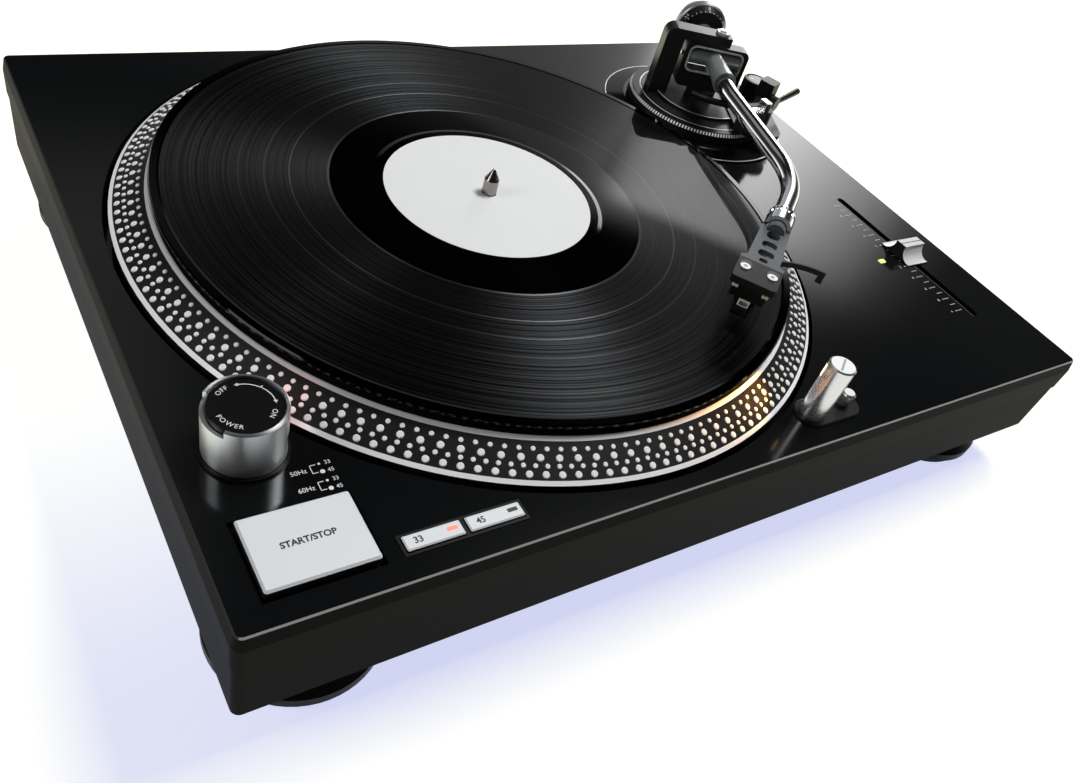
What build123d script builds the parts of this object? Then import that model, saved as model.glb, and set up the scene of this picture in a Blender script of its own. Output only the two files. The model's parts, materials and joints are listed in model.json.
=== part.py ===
# A belt-drive record player of the disc-jockey kind: plinth, strobe-rimmed platter with a record on it,
# S-shaped tonearm on a gimbal, and the controls around them.
# Millimetres, +X right, +Y back, +Z up. The origin is on the table, under the middle of the plinth.
from build123d import *
from math import atan2, cos, degrees, hypot, radians, sin, tan
import os

os.makedirs("parts", exist_ok=True)

# Fits and gaps shared by all pieces
running_fit = 0.06
seat_fit = 0.05
free_gap = 0.4
button_gap = 0.3
cut_past = 1.0

# Plinth
plinth_width = 450.0
plinth_depth = 352.0
plinth_corner = 4.0
foot_height = 24.0
pan_height = 31.0
deck_height = 18.0
deck_plate = 4.0
deck_wall = 3.2
edge_band = 6.0
edge_slope = 12.0
edge_line = 0.6
edge_line_slope = 45.0
pan_inset = 0.6
pan_wall = 3.0
pan_floor = 3.0
pan_edge = 1.5

# Feet and the screws that hold the plinth together
foot_from_side = 37.5
foot_from_front = 38.5
foot_radius = 35.0
foot_neck_radius = 25.0
foot_skirt = 9.0
foot_edge = 1.5
foot_shoulder = 3.0
foot_neck_height = 4.0
foot_stud_radius = 5.0
foot_stud_length = 2.6
pad_radius = 32.0
pad_thickness = 3.0
pad_bore = 12.0
screw_radius = 1.6
screw_head_radius = 3.4
screw_head_height = 2.4
screw_recess = 8.0
screw_grip = 8.0
post_radius = 6.5
post_from_side = 11.0
post_from_back = 11.0
post_from_front = 11.0
side_post_y = -60.0
front_post_left = -95.0
front_post_right = 130.0

# Platter, mat and record
platter_x = -44.8
platter_y = 1.5
platter_radius = 167.0
rim_bright_width = 1.6
rim_edge_height = 1.0
rim_bright_height = 1.0
rim_drop = 3.5
band_width = 13.4
band_top_height = 9.6
ring_height = 10.2
ring_step = 1.0
ring_width = 4.0
mat_recess = 8.5
mat_thickness = 5.2
mat_bore_gap = 1.0
platter_plate = 4.0
platter_rim_wall = 4.5
rim_undercut = 4.0
rim_web = 1.0
hub_radius = 16.0
hub_depth = 7.5
access_radius = 15.0
access_count = 2
well_gap = 2.5
well_wall = 2.0
well_depth = 11.0
well_floor = 3.0
record_radius = 150.8
record_thickness = 2.4
record_edge = 0.6
record_bead = 3.5
bead_slope = 1.0
label_land = 4.0
land_slope = 2.0
groove_sink = 0.25
label_radius = 50.0
label_thickness = 0.15
spindle_radius = 3.57
spindle_above_label = 12.8
spindle_neck = 0.3
spindle_neck_height = 0.8
spindle_round = 3.0
shaft_radius = 5.0
bearing_radius = 10.0
bearing_flange_radius = 24.0
bearing_flange = 3.0
bearing_depth = 27.0

# Belt drive
drive_radius = 96.5
drive_wall = 3.5
drive_drop = 7.0
motor_distance = 128.0
motor_bearing = 135.0
motor_radius = 17.0
motor_length = 24.0
motor_edge = 2.0
pulley_radius = 5.5
pulley_flange = 1.6
pulley_flange_height = 1.2
belt_thickness = 0.8
belt_width = 5.0
belt_low = -4.0
motor_shaft_radius = 1.2
motor_hole = 7.5

# Power and strobe tower
tower_x = -197.6
tower_y = -104.3
tower_radius = 14.6
tower_height = 22.0
tower_flange_radius = 15.8
tower_flange = 1.2
ring_wall = 1.3
ring_edge = 0.4
core_radius = 11.6
cap_thickness = 2.6
cap_sink = 0.8
cap_edge = 0.4
notch_from = 140.0
notch_to = 224.0
notch_depth = 3.0
power_turn = 50.0
lens_width = 7.0
lens_height = 7.0
lens_depth = 3.0
lens_low = 2.4
lens_frame = 1.0
lens_frame_angle = 4.0

# Start and stop button, speed buttons
start_from_side = 33.2
start_from_front = 26.7
start_width = 39.4
start_depth = 29.4
start_height = 3.0
start_recess = 1.6
start_travel = 1.5
start_pocket = 3.0
start_stem = 18.0
start_edge = 0.8
start_corner = 1.0
stem_length = 10.0
speed_from_front = 15.1
speed_depth = 6.2
speed_width = 22.0
speed_past_start = {"button_33": 39.8, "button_45": 63.9}
speed_height = 1.5
speed_travel = 1.0
speed_edge = 0.5
speed_corner = 0.6
bezel_rim = 1.4
bezel_height = 0.4
bezel_drop = 6.0

# Pitch fader
pitch_from_side = 32.5
pitch_from_front = 101.5
pitch_slot_length = 110.0
pitch_slot_width = 4.4
fader_width = 17.0
fader_length = 21.2
fader_height = 8.1
fader_ridge = 6.5
fader_toe = 0.5
fader_scoop_radius = 6.4
fader_stem_width = 3.4
fader_stem_length = 9.0
fader_stem_drop = 10.0
track_width = 16.0
track_wall = 4.0
track_depth = 13.0
pitch_light_left = 21.9
pitch_light_forward = 2.6
pitch_light_width = 4.2
pitch_light_depth = 2.8
pitch_light_corner = 0.5
pitch_light_height = 0.6

# Target light
target_x = 35.9
target_from_front = 17.8
target_radius = 6.0
target_stand = 3.4
target_travel = 26.0
target_edge = 0.6
target_guide = 12.0
target_seat_radius = 8.4
target_seat_lip = 1.2
target_seat_height = 1.2
target_seat_drop = 14.0
target_lens_width = 5.0
target_lens_height = 6.0
target_lens_depth = 1.4
target_lens_below_top = 2.6
release_offset = 19.6
release_radius = 3.4
release_stem_radius = 2.4
release_guide_wall = 1.2
release_height = 8.0
release_cap = 3.0
release_edge = 0.8

# Tonearm base, height ring and mount. The pivot stands 215 mm from the spindle.
pivot_distance = 215.0
pivot_bearing = 22.08
arm_heading = 243.2
arm_axis_height = 36.0
base_radius = 58.0
base_height = 3.4
base_edge = 1.2
base_land = 2.0
height_ring_radius = 44.0
height_ring_shoulder = 8.0
height_ring_top_radius = 42.4
height_ring_height = 10.2
turret_radius = 37.0
turret_height = 10.5
turret_step_radius = 29.0
turret_step_height = 2.0
turret_post_radius = 9.0
column_radius = 20.0
column_guide = 16.0
height_travel = 6.0
ear_near = 16.0
ear_far = 46.5
ear_back = -24.0
ear_front = 40.0
ear_corner = 9.0
ear_thickness = 3.0

# Gimbal
bracket_left = -34.5
bracket_post_width = 11.5
bracket_right = 5.6
bracket_top = 51.0
bracket_bar = 5.6
bracket_half = 5.5
bracket_round = 6.0
yoke_half_width = 20.0
yoke_half_thickness = 4.5
yoke_low = 18.0
yoke_gap = 0.6
yoke_round = 4.0
window_half_width = 16.2
window_low = -7.4
window_high = 6.2
window_round = 3.0
pin_radius = 1.5
pin_depth = 2.0
low_pin_radius = 2.5
low_pin_length = 5.0
nut_radius = 4.2
nut_height = 1.6
cone_screw_radius = 2.2
cone_screw_height = 1.0
cone_screw_slot = 0.7

# Tonearm
barrel_radius = 4.8
barrel_pivot_radius = 1.2
barrel_pivot_depth = 3.0
barrel_pivot_stand = 0.8
housing_back_radius = 6.0
housing_back = 14.0
cone_back_radius = 4.6
cone_front_radius = 6.6
cone_front = 33.0
cone_recess = 2.0
cone_lip = 0.7
tube_radius = 4.7
tube_wall = 0.7
tube_seat = 12.0
first_bend_at = 44.0
first_bend = 10.6
first_bend_radius = 80.0
middle_run = 90.8
second_bend = -36.9
second_bend_radius = 70.0
tube_end = 49.0
stub_radius = 4.4
stub_past_weight = 3.0
stub_seat = 8.0

# Counterweight
weight_front = 40.4
weight_length = 20.0
weight_radius = 16.4
weight_full = 5.0
weight_tail_radius = 10.3
weight_groove = 0.8
weight_thread = 3.0
weight_turns = 2.0
bush_radius = 8.0
bush_step = 2.0
bush_cover = 1.0
bush_nose_radius = 6.2
dial_length = 5.6
dial_radius = 15.4
dial_front_radius = 13.2

# Headshell, cartridge and the collar that locks them on
collar_from = 43.0
collar_length = 12.0
collar_radius = 6.7
collar_flutes = 20
collar_flute = 0.8
collar_plain_back = 1.0
collar_plain_front = 7.5
shell_plug_radius = 4.5
shell_plug_grip = 3.5
shell_neck_from = 56.4
shell_neck_width = 14.0
shell_waist_width = 15.5
shell_shoulder = 87.5
shell_flare = 2.0
shell_front = 109.0
shell_width = 20.6
shell_plate = 2.2
shell_rib = 1.2
shell_rib_width = 1.6
shell_round = 1.6
shell_sink = 1.5
first_hole_at = 63.8
first_hole_width = 6.4
first_hole_length = 6.8
second_hole_at = 73.4
second_hole_width = 7.2
second_hole_length = 6.0
third_hole_at = 82.0
third_hole_width = 7.6
third_hole_length = 5.6
fourth_hole_at = 88.2
fourth_hole_width = 4.0
fourth_hole_length = 3.2
shell_hole_round = 0.42
shell_slot_length = 9.0
shell_slot_width = 3.0
cart_screw_at = 98.6
cart_screw_spacing = 12.7
cart_screw_radius = 1.25
cart_screw_head = 2.4
cart_screw_head_height = 1.6
cart_screw_room = 0.5
cart_screw_pocket = 1.4
cart_screw_slot = 0.7
cart_screw_depth = 5.0
cart_back = 91.5
cart_front = 107.0
cart_width = 16.4
cart_height = 8.4
cart_keel_width = 10.0
cart_keel_height = 3.6
cart_keel_back = 0.5
cart_keel_front = 2.5
cart_corner = 1.2
cart_keel_corner = 1.0
stylus_at = 105.7
stylus_gap = 0.4
stylus_block_length = 14.0
stylus_block_width = 8.0
stylus_block_height = 3.4
stylus_block_front = 111.0
stylus_nose = 1.5
stylus_root_radius = 0.3
stylus_point_radius = 0.08
lift_root = (82.6, 7.0)
lift_middle = (77.2, 17.8)
lift_tip = (76.2, 28.1)
lift_blade = 1.0
lift_blade_height = 2.6
lift_tip_length = 3.0
lift_tip_drop = 3.4

# Arm rest, cueing lift, anti-skate knob, in the arm's own forward and sideways directions
rest_forward = 15.0
rest_side = 34.5
rest_post_size = 10.0
rest_post_round = 1.5
rest_bar_low = 20.0
rest_bar_height = 7.4
rest_bar_half = 3.6
lift_forward = 35.0
lift_side = 29.0
lift_boss_radius = 5.4
lift_stem_radius = 2.5
lift_head_rim = 0.8
lift_bar_half = 1.9
lift_bar_height = 2.4
lift_overrun_angle = 6.0
park_turn = 16.6
inward_turn = -20.0
cradle_reach = 52.0
cradle_length = 7.0
cradle_half = 7.0
cradle_wall = 2.2
cradle_wall_height = 5.5
clip_thickness = 0.8
clip_margin = 0.5
clip_lip = 3.0
lever_height = 25.0
lever_bearing = 137.3
lever_hub_radius = 4.4
lever_hub_length = 4.0
lever_length = 34.0
lever_root_radius = 1.5
lever_tip_radius = 2.1
lever_pin_radius = 1.8
lever_pin_length = 6.0
knob_forward = -12.5
knob_side = 37.6
knob_radius = 8.2
knob_height = 10.4
knob_cap_radius = 7.0
knob_cap_sink = 0.5
knob_edge = 0.5
knob_pin_radius = 2.0
knob_flutes = 24
knob_flute = 0.7
knob_flute_stop = 1.5

# What is inside and at the back
board_from_side = 115.0
board_from_front = 81.0
board_size = (130.0, 80.0)
board_thickness = 1.6
board_standoff = 6.0
board_hole_inset = 6.0
board_standoff_radius = 3.5
board_parts = [(-40, 15, 22, 16, 12), (-8, -20, 30, 12, 9), (36, 12, 18, 26, 8)]
transformer_from_side = 35.0
transformer_from_back = 43.0
transformer_core = (50.0, 42.0)
transformer_coil = (30.0, 40.0)
transformer_height = 24.0
transformer_lid = 4.0
transformer_corner = 4.0
bay_width = 60.0
bay_height = 19.0
bay_depth = 14.0
bay_wall = 2.0
bay_low = 29.0
mains_bay_x = -150.0
line_bay_x = 128.0
inlet_width = 27.0
inlet_height = 16.0
inlet_depth = 9.0
inlet_wall = 2.0
inlet_pin_radius = 1.6
inlet_pin_spacing = 8.0
line_spacing = 16.0
line_radius = 4.2
line_bore = 1.7
line_length = 9.0
line_flange = 6.4
line_flange_thickness = 2.0
ground_offset = 20.0
ground_radius = 3.6
ground_post_radius = 1.8
ground_length = 8.0
ground_nut_from = 3.0
ground_nut_length = 4.0


# Shapes used by many pieces
standing = (Align.CENTER, Align.CENTER, Align.MIN)


def rod(radius, low, high, at=(0, 0)):
    return Pos(at[0], at[1], low) * Cylinder(radius, high - low, align=standing)


def sleeve(outer, inner, low, high, at=(0, 0)):
    return rod(outer, low, high, at) - rod(inner, low - cut_past, high + cut_past, at)


def block(width, depth, low, high, at=(0, 0), corner=0.0):
    outline = RectangleRounded(width, depth, corner) if corner else Rectangle(width, depth)
    return Pos(at[0], at[1], low) * extrude(outline, high - low)


def turned(points, at=(0, 0)):
    section = Plane.XZ * make_face(Polyline(*points, close=True))
    return Pos(at[0], at[1], 0) * revolve(section, Axis.Z)


def lying_rod(radius, back, front, side=0.0, height=0.0):
    return Pos(back, side, height) * Rot(0, 90, 0) * Cylinder(radius, front - back, align=standing)


def lying_cone(back_radius, front_radius, back, front):
    return Pos(back, 0, 0) * Rot(0, 90, 0) * Cone(back_radius, front_radius, front - back, align=standing)


def sector(radius, low, high, first, last, at=(0, 0)):
    wedge = make_face(
        [
            Line((0, 0), (radius * cos(radians(first)), radius * sin(radians(first)))),
            CenterArc((0, 0), radius, first, last - first),
            Line((radius * cos(radians(last)), radius * sin(radians(last))), (0, 0)),
        ]
    )
    return Pos(at[0], at[1], low) * extrude(wedge, high - low)


def group(solids):
    return Compound(children=list(solids))


def save(name, shape):
    export_step(shape, f"parts/{name}.step")


# Heights and places worked out from the driving sizes
seam = foot_height + pan_height
deck_top = seam + deck_height
plate_under = deck_top - deck_plate
floor_top = foot_height + pan_floor
back_wall = plinth_depth / 2 - pan_inset - bay_depth
foot_x = plinth_width / 2 - foot_from_side
foot_y = plinth_depth / 2 - foot_from_front
foot_places = [(x, y) for x in (-foot_x, foot_x) for y in (-foot_y, foot_y)]
post_x = plinth_width / 2 - post_from_side
post_places = [(x, y) for x in (-post_x, post_x) for y in (side_post_y, plinth_depth / 2 - post_from_back)]
post_places += [(x, post_from_front - plinth_depth / 2) for x in (front_post_left, front_post_right)]
transformer_place = (transformer_from_side - plinth_width / 2, plinth_depth / 2 - transformer_from_back)
platter_at = (platter_x, platter_y)
well_radius = platter_radius + well_gap
band_top_radius = platter_radius - rim_bright_width - band_width
ring_outer = band_top_radius - ring_step
mat_radius = ring_outer - ring_width
motor_at = (
    platter_x + motor_distance * cos(radians(motor_bearing)),
    platter_y + motor_distance * sin(radians(motor_bearing)),
)
pivot_at = (
    platter_x + pivot_distance * cos(radians(pivot_bearing)),
    platter_y + pivot_distance * sin(radians(pivot_bearing)),
)
mat_top = deck_top + mat_recess + mat_thickness
record_top = mat_top + record_thickness
groove_top = record_top - groove_sink
label_top = record_top + label_thickness
well_base = deck_top - well_depth
well_under = well_base - well_floor
start_x = start_from_side - plinth_width / 2
start_y = start_from_front - plinth_depth / 2
speed_y = speed_from_front - plinth_depth / 2
speed_centres = {name: start_x + run for name, run in speed_past_start.items()}
pitch_x = plinth_width / 2 - pitch_from_side
pitch_y = pitch_from_front - plinth_depth / 2
pitch_light_at = (pitch_x - pitch_light_left, pitch_y - pitch_light_forward)
target_y = target_from_front - plinth_depth / 2
board_place = (plinth_width / 2 - board_from_side, board_from_front - plinth_depth / 2)
tower_at = (tower_x, tower_y)
tower_top = deck_top + tower_height
cap_low = tower_top - cap_sink - cap_thickness
tower_side = degrees(atan2(platter_y - tower_y, platter_x - tower_x))
bezel_at = (sum(speed_centres.values()) / len(speed_centres), speed_y)
bezel_width = max(speed_centres.values()) - min(speed_centres.values()) + speed_width + 2 * bezel_rim
bezel_depth = speed_depth + 2 * bezel_rim
target_at = (target_x, target_y)
target_top = deck_top + target_stand + target_travel
target_side = degrees(atan2(platter_y - target_y, platter_x - target_x))
release_at = (target_x + release_offset, target_y)
guide_low = deck_top - target_seat_drop
guide_radius = target_seat_radius - target_seat_lip
release_guide_radius = release_stem_radius + release_guide_wall
arm_axis = deck_top + arm_axis_height
turret_top = deck_top + turret_height
ear_top = turret_top + ear_thickness
rest_post = (rest_forward, rest_side)
lift_post = (lift_forward, lift_side)
knob_place = (knob_forward, knob_side)
arm_place = Pos(pivot_at[0], pivot_at[1], 0) * Rot(0, 0, arm_heading)
arm_level = arm_place * Pos(0, 0, arm_axis)
bend_end = (
    first_bend_at + middle_run * cos(radians(first_bend)),
    middle_run * sin(radians(first_bend)),
)
shell_heading = first_bend + second_bend
shell_place = arm_level * Pos(bend_end[0], bend_end[1], 0) * Rot(0, 0, shell_heading)
shell_top = shell_plate - shell_sink
screw_seat = shell_top - cart_screw_pocket
shell_holes = [
    (first_hole_at, first_hole_width, first_hole_length),
    (second_hole_at, second_hole_width, second_hole_length),
    (third_hole_at, third_hole_width, third_hole_length),
    (fourth_hole_at, fourth_hole_width, fourth_hole_length),
]
yoke_bottom = deck_top + yoke_low
yoke_top = deck_top + bracket_top - bracket_bar - yoke_gap
weight_back = weight_front + weight_length
stub_end = weight_back + weight_thread * weight_turns + stub_past_weight
park_heading = park_turn + first_bend
park_at = (
    first_bend_at * cos(radians(park_turn)) + (cradle_reach - first_bend_at) * cos(radians(park_heading)),
    first_bend_at * sin(radians(park_turn)) + (cradle_reach - first_bend_at) * sin(radians(park_heading)),
)
cradle_top = arm_axis - tube_radius - free_gap - clip_thickness
board_corners = [
    (
        board_place[0] + a * (board_size[0] / 2 - board_hole_inset),
        board_place[1] + b * (board_size[1] / 2 - board_hole_inset),
    )
    for a in (-1, 1) for b in (-1, 1)
]


# Plinth
def top_deck():
    straight = block(plinth_width, plinth_depth, seam, deck_top - edge_band, corner=plinth_corner)
    outline = RectangleRounded(plinth_width, plinth_depth, plinth_corner)
    band = edge_band - edge_line
    edge = Pos(0, 0, deck_top - edge_band) * extrude(outline, band, taper=edge_slope)
    inset = band * tan(radians(edge_slope))
    line = RectangleRounded(plinth_width - 2 * inset, plinth_depth - 2 * inset, plinth_corner - inset)
    edge += Pos(0, 0, deck_top - edge_line) * extrude(line, edge_line, taper=edge_line_slope)
    inside = block(
        plinth_width - 2 * deck_wall, plinth_depth - 2 * deck_wall, seam - cut_past, plate_under,
        corner=plinth_corner - deck_wall,
    )
    well = rod(well_radius + well_wall, well_under, plate_under, platter_at)
    posts = [rod(post_radius, seam, plate_under + cut_past, place) for place in post_places]
    body = straight + edge - inside + well + posts
    body = body & block(plinth_width, plinth_depth, seam, deck_top, corner=plinth_corner)
    body -= rod(well_radius, well_base, deck_top + cut_past, platter_at)
    body -= rod(bearing_radius + free_gap, well_under - cut_past, well_base + cut_past, platter_at)
    body -= rod(motor_hole, well_under - cut_past, well_base + cut_past, motor_at)
    body -= rod(column_radius + running_fit, seam, deck_top + cut_past, pivot_at)
    body -= [rod(screw_radius + seat_fit, seam - cut_past, seam + screw_grip, place) for place in post_places]
    pocket = block(
        start_width + 2 * start_recess, start_depth + 2 * start_recess,
        deck_top - start_pocket, deck_top + cut_past, (start_x, start_y),
    )
    stem_hole = block(
        start_stem + 2 * button_gap, start_stem + 2 * button_gap, plate_under - cut_past, deck_top,
        (start_x, start_y),
    )
    bezel_hole = block(bezel_width, bezel_depth, plate_under - cut_past, deck_top + cut_past, bezel_at)
    slot = block(
        pitch_slot_width, pitch_slot_length, plate_under - cut_past, deck_top + cut_past, (pitch_x, pitch_y),
        corner=pitch_slot_width / 2 - seat_fit,
    )
    light_hole = block(
        pitch_light_width + 2 * seat_fit, pitch_light_depth + 2 * seat_fit,
        plate_under - cut_past, deck_top + cut_past, pitch_light_at, pitch_light_corner + seat_fit,
    )
    target_hole = rod(guide_radius, plate_under - cut_past, deck_top + cut_past, target_at)
    release_hole = rod(release_guide_radius, plate_under - cut_past, deck_top + cut_past, release_at)
    return body - [pocket, stem_hole, bezel_hole, slot, light_hole, target_hole, release_hole]


def base_pan():
    width = plinth_width - 2 * pan_inset
    depth = plinth_depth - 2 * pan_inset
    shell = block(width, depth, foot_height, seam, corner=plinth_corner - pan_inset)
    shell = chamfer(shell.faces().sort_by(Axis.Z)[0].edges(), pan_edge)
    shell -= block(
        width - 2 * pan_wall, depth - 2 * pan_wall, foot_height + pan_floor, seam + cut_past,
        corner=plinth_corner - pan_inset - pan_wall,
    )
    shell += [rod(post_radius, foot_height + pan_edge, seam, place) for place in post_places]
    shell += [
        rod(board_standoff_radius, floor_top - pan_floor / 2, floor_top + board_standoff, place)
        for place in board_corners
    ]
    for bay_x in (mains_bay_x, line_bay_x):
        bay_y = depth / 2 - bay_depth / 2
        shell += block(
            bay_width + 2 * bay_wall, bay_depth + 2 * bay_wall,
            bay_low - bay_wall, bay_low + bay_height + bay_wall, (bay_x, bay_y - bay_wall),
        )
        shell -= block(
            bay_width, bay_depth + cut_past, bay_low, bay_low + bay_height, (bay_x, bay_y + cut_past / 2)
        )
    shell -= [rod(screw_radius + seat_fit, foot_height, seam + cut_past, place) for place in post_places]
    shell -= [
        rod(screw_head_radius + seat_fit, foot_height - cut_past, foot_height + screw_recess, place)
        for place in post_places
    ]
    shell -= [
        rod(foot_stud_radius + seat_fit, foot_height - cut_past, floor_top + cut_past, place)
        for place in foot_places
    ]
    return shell & block(width, depth, foot_height, seam, corner=plinth_corner - pan_inset)


def deck_screws():
    seat = foot_height + screw_recess
    return group(
        rod(screw_head_radius, seat - screw_head_height, seat, place)
        + rod(screw_radius, seat, seam + screw_grip - seat_fit, place)
        for place in post_places
    )


def feet():
    foot = turned(
        [
            (0, pad_thickness), (foot_radius - foot_edge, pad_thickness),
            (foot_radius, pad_thickness + foot_edge), (foot_radius, foot_skirt),
            (foot_radius - foot_shoulder, foot_skirt + foot_shoulder),
            (foot_neck_radius, foot_height - foot_neck_height), (foot_neck_radius, foot_height),
            (foot_stud_radius, foot_height), (foot_stud_radius, foot_height + foot_stud_length),
            (0, foot_height + foot_stud_length),
        ]
    )
    return group(Pos(x, y, 0) * foot for x, y in foot_places)


def foot_pads():
    return group(sleeve(pad_radius, pad_bore, 0, pad_thickness, place) for place in foot_places)


save("top_deck", top_deck())
save("base_pan", base_pan())
save("deck_screws", deck_screws())
save("feet", feet())
save("foot_pads", foot_pads())


# Platter with its drive ring, mat, record, spindle and main bearing
def platter():
    top = deck_top
    bright = platter_radius - rim_bright_width
    under = top + mat_recess - platter_plate
    inner_rim = platter_radius - platter_rim_wall
    disc = turned(
        [
            (shaft_radius + seat_fit, top + mat_recess), (mat_radius, top + mat_recess),
            (mat_radius, top + ring_height), (ring_outer, top + ring_height),
            (band_top_radius, top + band_top_height), (bright, top + rim_edge_height + rim_bright_height),
            (platter_radius, top + rim_edge_height), (platter_radius, top - rim_drop),
            (inner_rim, top - rim_drop), (inner_rim - rim_undercut, top + rim_edge_height - rim_web),
            (band_top_radius, under),
            (drive_radius, under), (drive_radius, top - drive_drop),
            (drive_radius - drive_wall, top - drive_drop), (drive_radius - drive_wall, under),
            (hub_radius, under), (hub_radius, top + mat_recess - hub_depth),
            (shaft_radius + seat_fit, top + mat_recess - hub_depth),
        ],
        platter_at,
    )
    for index in range(access_count):
        turn = radians(motor_bearing + index * 360 / access_count)
        place = (platter_x + motor_distance * cos(turn), platter_y + motor_distance * sin(turn))
        disc -= rod(access_radius, under - cut_past, top + mat_recess + cut_past, place)
    return disc


def slip_mat():
    low = deck_top + mat_recess
    return sleeve(mat_radius - seat_fit, spindle_radius + mat_bore_gap, low, mat_top, platter_at)


def record():
    bore = spindle_radius + seat_fit
    bead = record_radius - record_bead
    return turned(
        [
            (bore, mat_top), (record_radius - record_edge, mat_top), (record_radius, mat_top + record_edge),
            (record_radius, record_top - record_edge), (record_radius - record_edge, record_top),
            (bead, record_top), (bead - bead_slope, groove_top),
            (label_radius + label_land + land_slope, groove_top), (label_radius + label_land, record_top),
            (bore, record_top),
        ],
        platter_at,
    )


def record_label():
    return sleeve(label_radius, spindle_radius + seat_fit, record_top, label_top, platter_at)


def spindle():
    shoulder = deck_top + mat_recess
    neck_top = label_top + spindle_neck_height
    pin = rod(spindle_radius, neck_top, label_top + spindle_above_label, platter_at)
    pin = fillet(pin.edges().group_by(Axis.Z)[-1], spindle_round)
    pin += rod(spindle_radius - spindle_neck, label_top, neck_top, platter_at)
    pin += rod(spindle_radius, shoulder, label_top, platter_at)
    return pin + rod(shaft_radius, well_base - bearing_depth + seat_fit, shoulder, platter_at)


def bearing_housing():
    low = well_base - bearing_depth
    housing = rod(bearing_radius, low - bearing_flange, well_base + bearing_flange, platter_at)
    housing += rod(bearing_flange_radius, well_base, well_base + bearing_flange, platter_at)
    return housing - rod(shaft_radius + running_fit, low, well_base + 2 * bearing_flange, platter_at)


def motor_pulley():
    low = deck_top + belt_low - pulley_flange_height - free_gap
    high = deck_top + belt_low + belt_width + pulley_flange_height + free_gap
    wide = pulley_radius + pulley_flange
    pulley = turned(
        [
            (0, low), (wide, low), (wide, low + pulley_flange_height),
            (pulley_radius, low + pulley_flange_height), (pulley_radius, high - pulley_flange_height),
            (wide, high - pulley_flange_height), (wide, high), (0, high),
        ],
        motor_at,
    )
    return pulley + rod(motor_shaft_radius, well_under - motor_length / 2, low, motor_at)


def motor():
    can = rod(motor_radius, well_under - motor_length, well_under, motor_at)
    can = chamfer(can.edges().group_by(Axis.Z)[0], motor_edge)
    boss = rod(motor_hole - seat_fit, well_under, well_base, motor_at)
    bore_low = well_under - motor_length / 2 - seat_fit
    return can + boss - rod(motor_shaft_radius + running_fit, bore_low, well_base + cut_past, motor_at)


def belt_loop(offset):
    circles = [
        Pos(*platter_at) * CenterArc((0, 0), drive_radius + offset, 0, 360),
        Pos(*motor_at) * CenterArc((0, 0), pulley_radius + offset, 0, 360),
    ]
    return make_hull([edge for circle in circles for edge in circle.edges()])


def drive_belt():
    outline = belt_loop(button_gap + belt_thickness) - belt_loop(button_gap)
    return Pos(0, 0, deck_top + belt_low) * extrude(outline, belt_width)


save("platter", platter())
save("slip_mat", slip_mat())
save("record", record())
save("record_label", record_label())
save("spindle", spindle())
save("bearing_housing", bearing_housing())
save("motor", motor())
save("motor_pulley", motor_pulley())
save("drive_belt", drive_belt())


# Power tower: a fixed core and cap, and a silver ring that turns round them
def strobe_tower():
    core = rod(tower_flange_radius, deck_top, deck_top + tower_flange, tower_at)
    core += rod(core_radius, deck_top, cap_low, tower_at)
    window = Pos(core_radius - lens_depth / 2, 0, deck_top + tower_flange + lens_low) * extrude(
        Rectangle(lens_depth + seat_fit, lens_width + 2 * seat_fit), lens_height + seat_fit
    )
    return core - Pos(*tower_at, 0) * Rot(0, 0, tower_side) * window


def strobe_lens():
    lens = Pos(core_radius - lens_depth / 2 - seat_fit, 0, deck_top + tower_flange + lens_low) * extrude(
        Rectangle(lens_depth - seat_fit, lens_width), lens_height
    )
    return Pos(*tower_at, 0) * Rot(0, 0, tower_side) * lens & rod(
        core_radius, deck_top, tower_top, tower_at
    )


def power_ring():
    low = deck_top + tower_flange + button_gap
    ring = rod(tower_radius, low, tower_top, tower_at)
    ring = chamfer(ring.edges().group_by(Axis.Z)[-1], ring_edge)
    ring -= rod(core_radius + running_fit, low - cut_past, cap_low, tower_at)
    ring -= rod(tower_radius - ring_wall, cap_low - button_gap, tower_top + cut_past, tower_at)
    ring -= sector(
        tower_radius + cut_past, tower_top - notch_depth, tower_top + cut_past, notch_from, notch_to, tower_at
    )
    half_window = degrees(lens_width / (2 * core_radius)) + lens_frame_angle
    lens_high = deck_top + tower_flange + lens_low + lens_height
    return ring - sector(
        tower_radius + cut_past, low + lens_frame, lens_high + lens_frame,
        tower_side - half_window - power_turn, tower_side + half_window, tower_at,
    )


def tower_cap():
    cap = rod(tower_radius - ring_wall - button_gap, cap_low, cap_low + cap_thickness, tower_at)
    return chamfer(cap.edges().group_by(Axis.Z)[-1], cap_edge)


save("strobe_tower", strobe_tower())
save("strobe_lens", strobe_lens())
save("power_ring", power_ring())
save("tower_cap", tower_cap())


# Buttons
def start_stop_button():
    low = deck_top - start_pocket + start_travel + free_gap
    plate = block(start_width, start_depth, low, deck_top + start_height, (start_x, start_y), start_corner)
    plate = chamfer(plate.edges().group_by(Axis.Z)[-1], start_edge)
    return plate + block(start_stem, start_stem, low - stem_length, low, (start_x, start_y))


def speed_bezel():
    low = deck_top - bezel_drop
    bezel = block(bezel_width - seat_fit, bezel_depth - seat_fit, low, deck_top + bezel_height, bezel_at)
    for centre in speed_centres.values():
        bezel -= block(
            speed_width + 2 * button_gap, speed_depth + 2 * button_gap,
            low + bezel_rim, deck_top + cut_past, (centre, speed_y),
        )
    return bezel


def speed_button(centre):
    low = deck_top - bezel_drop + bezel_rim + speed_travel + button_gap
    button = block(speed_width, speed_depth, low, deck_top + speed_height, (centre, speed_y), speed_corner)
    return chamfer(button.edges().group_by(Axis.Z)[-1], speed_edge)


save("start_stop_button", start_stop_button())
save("speed_bezel", speed_bezel())
for name, centre in speed_centres.items():
    save(name, speed_button(centre))


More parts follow.
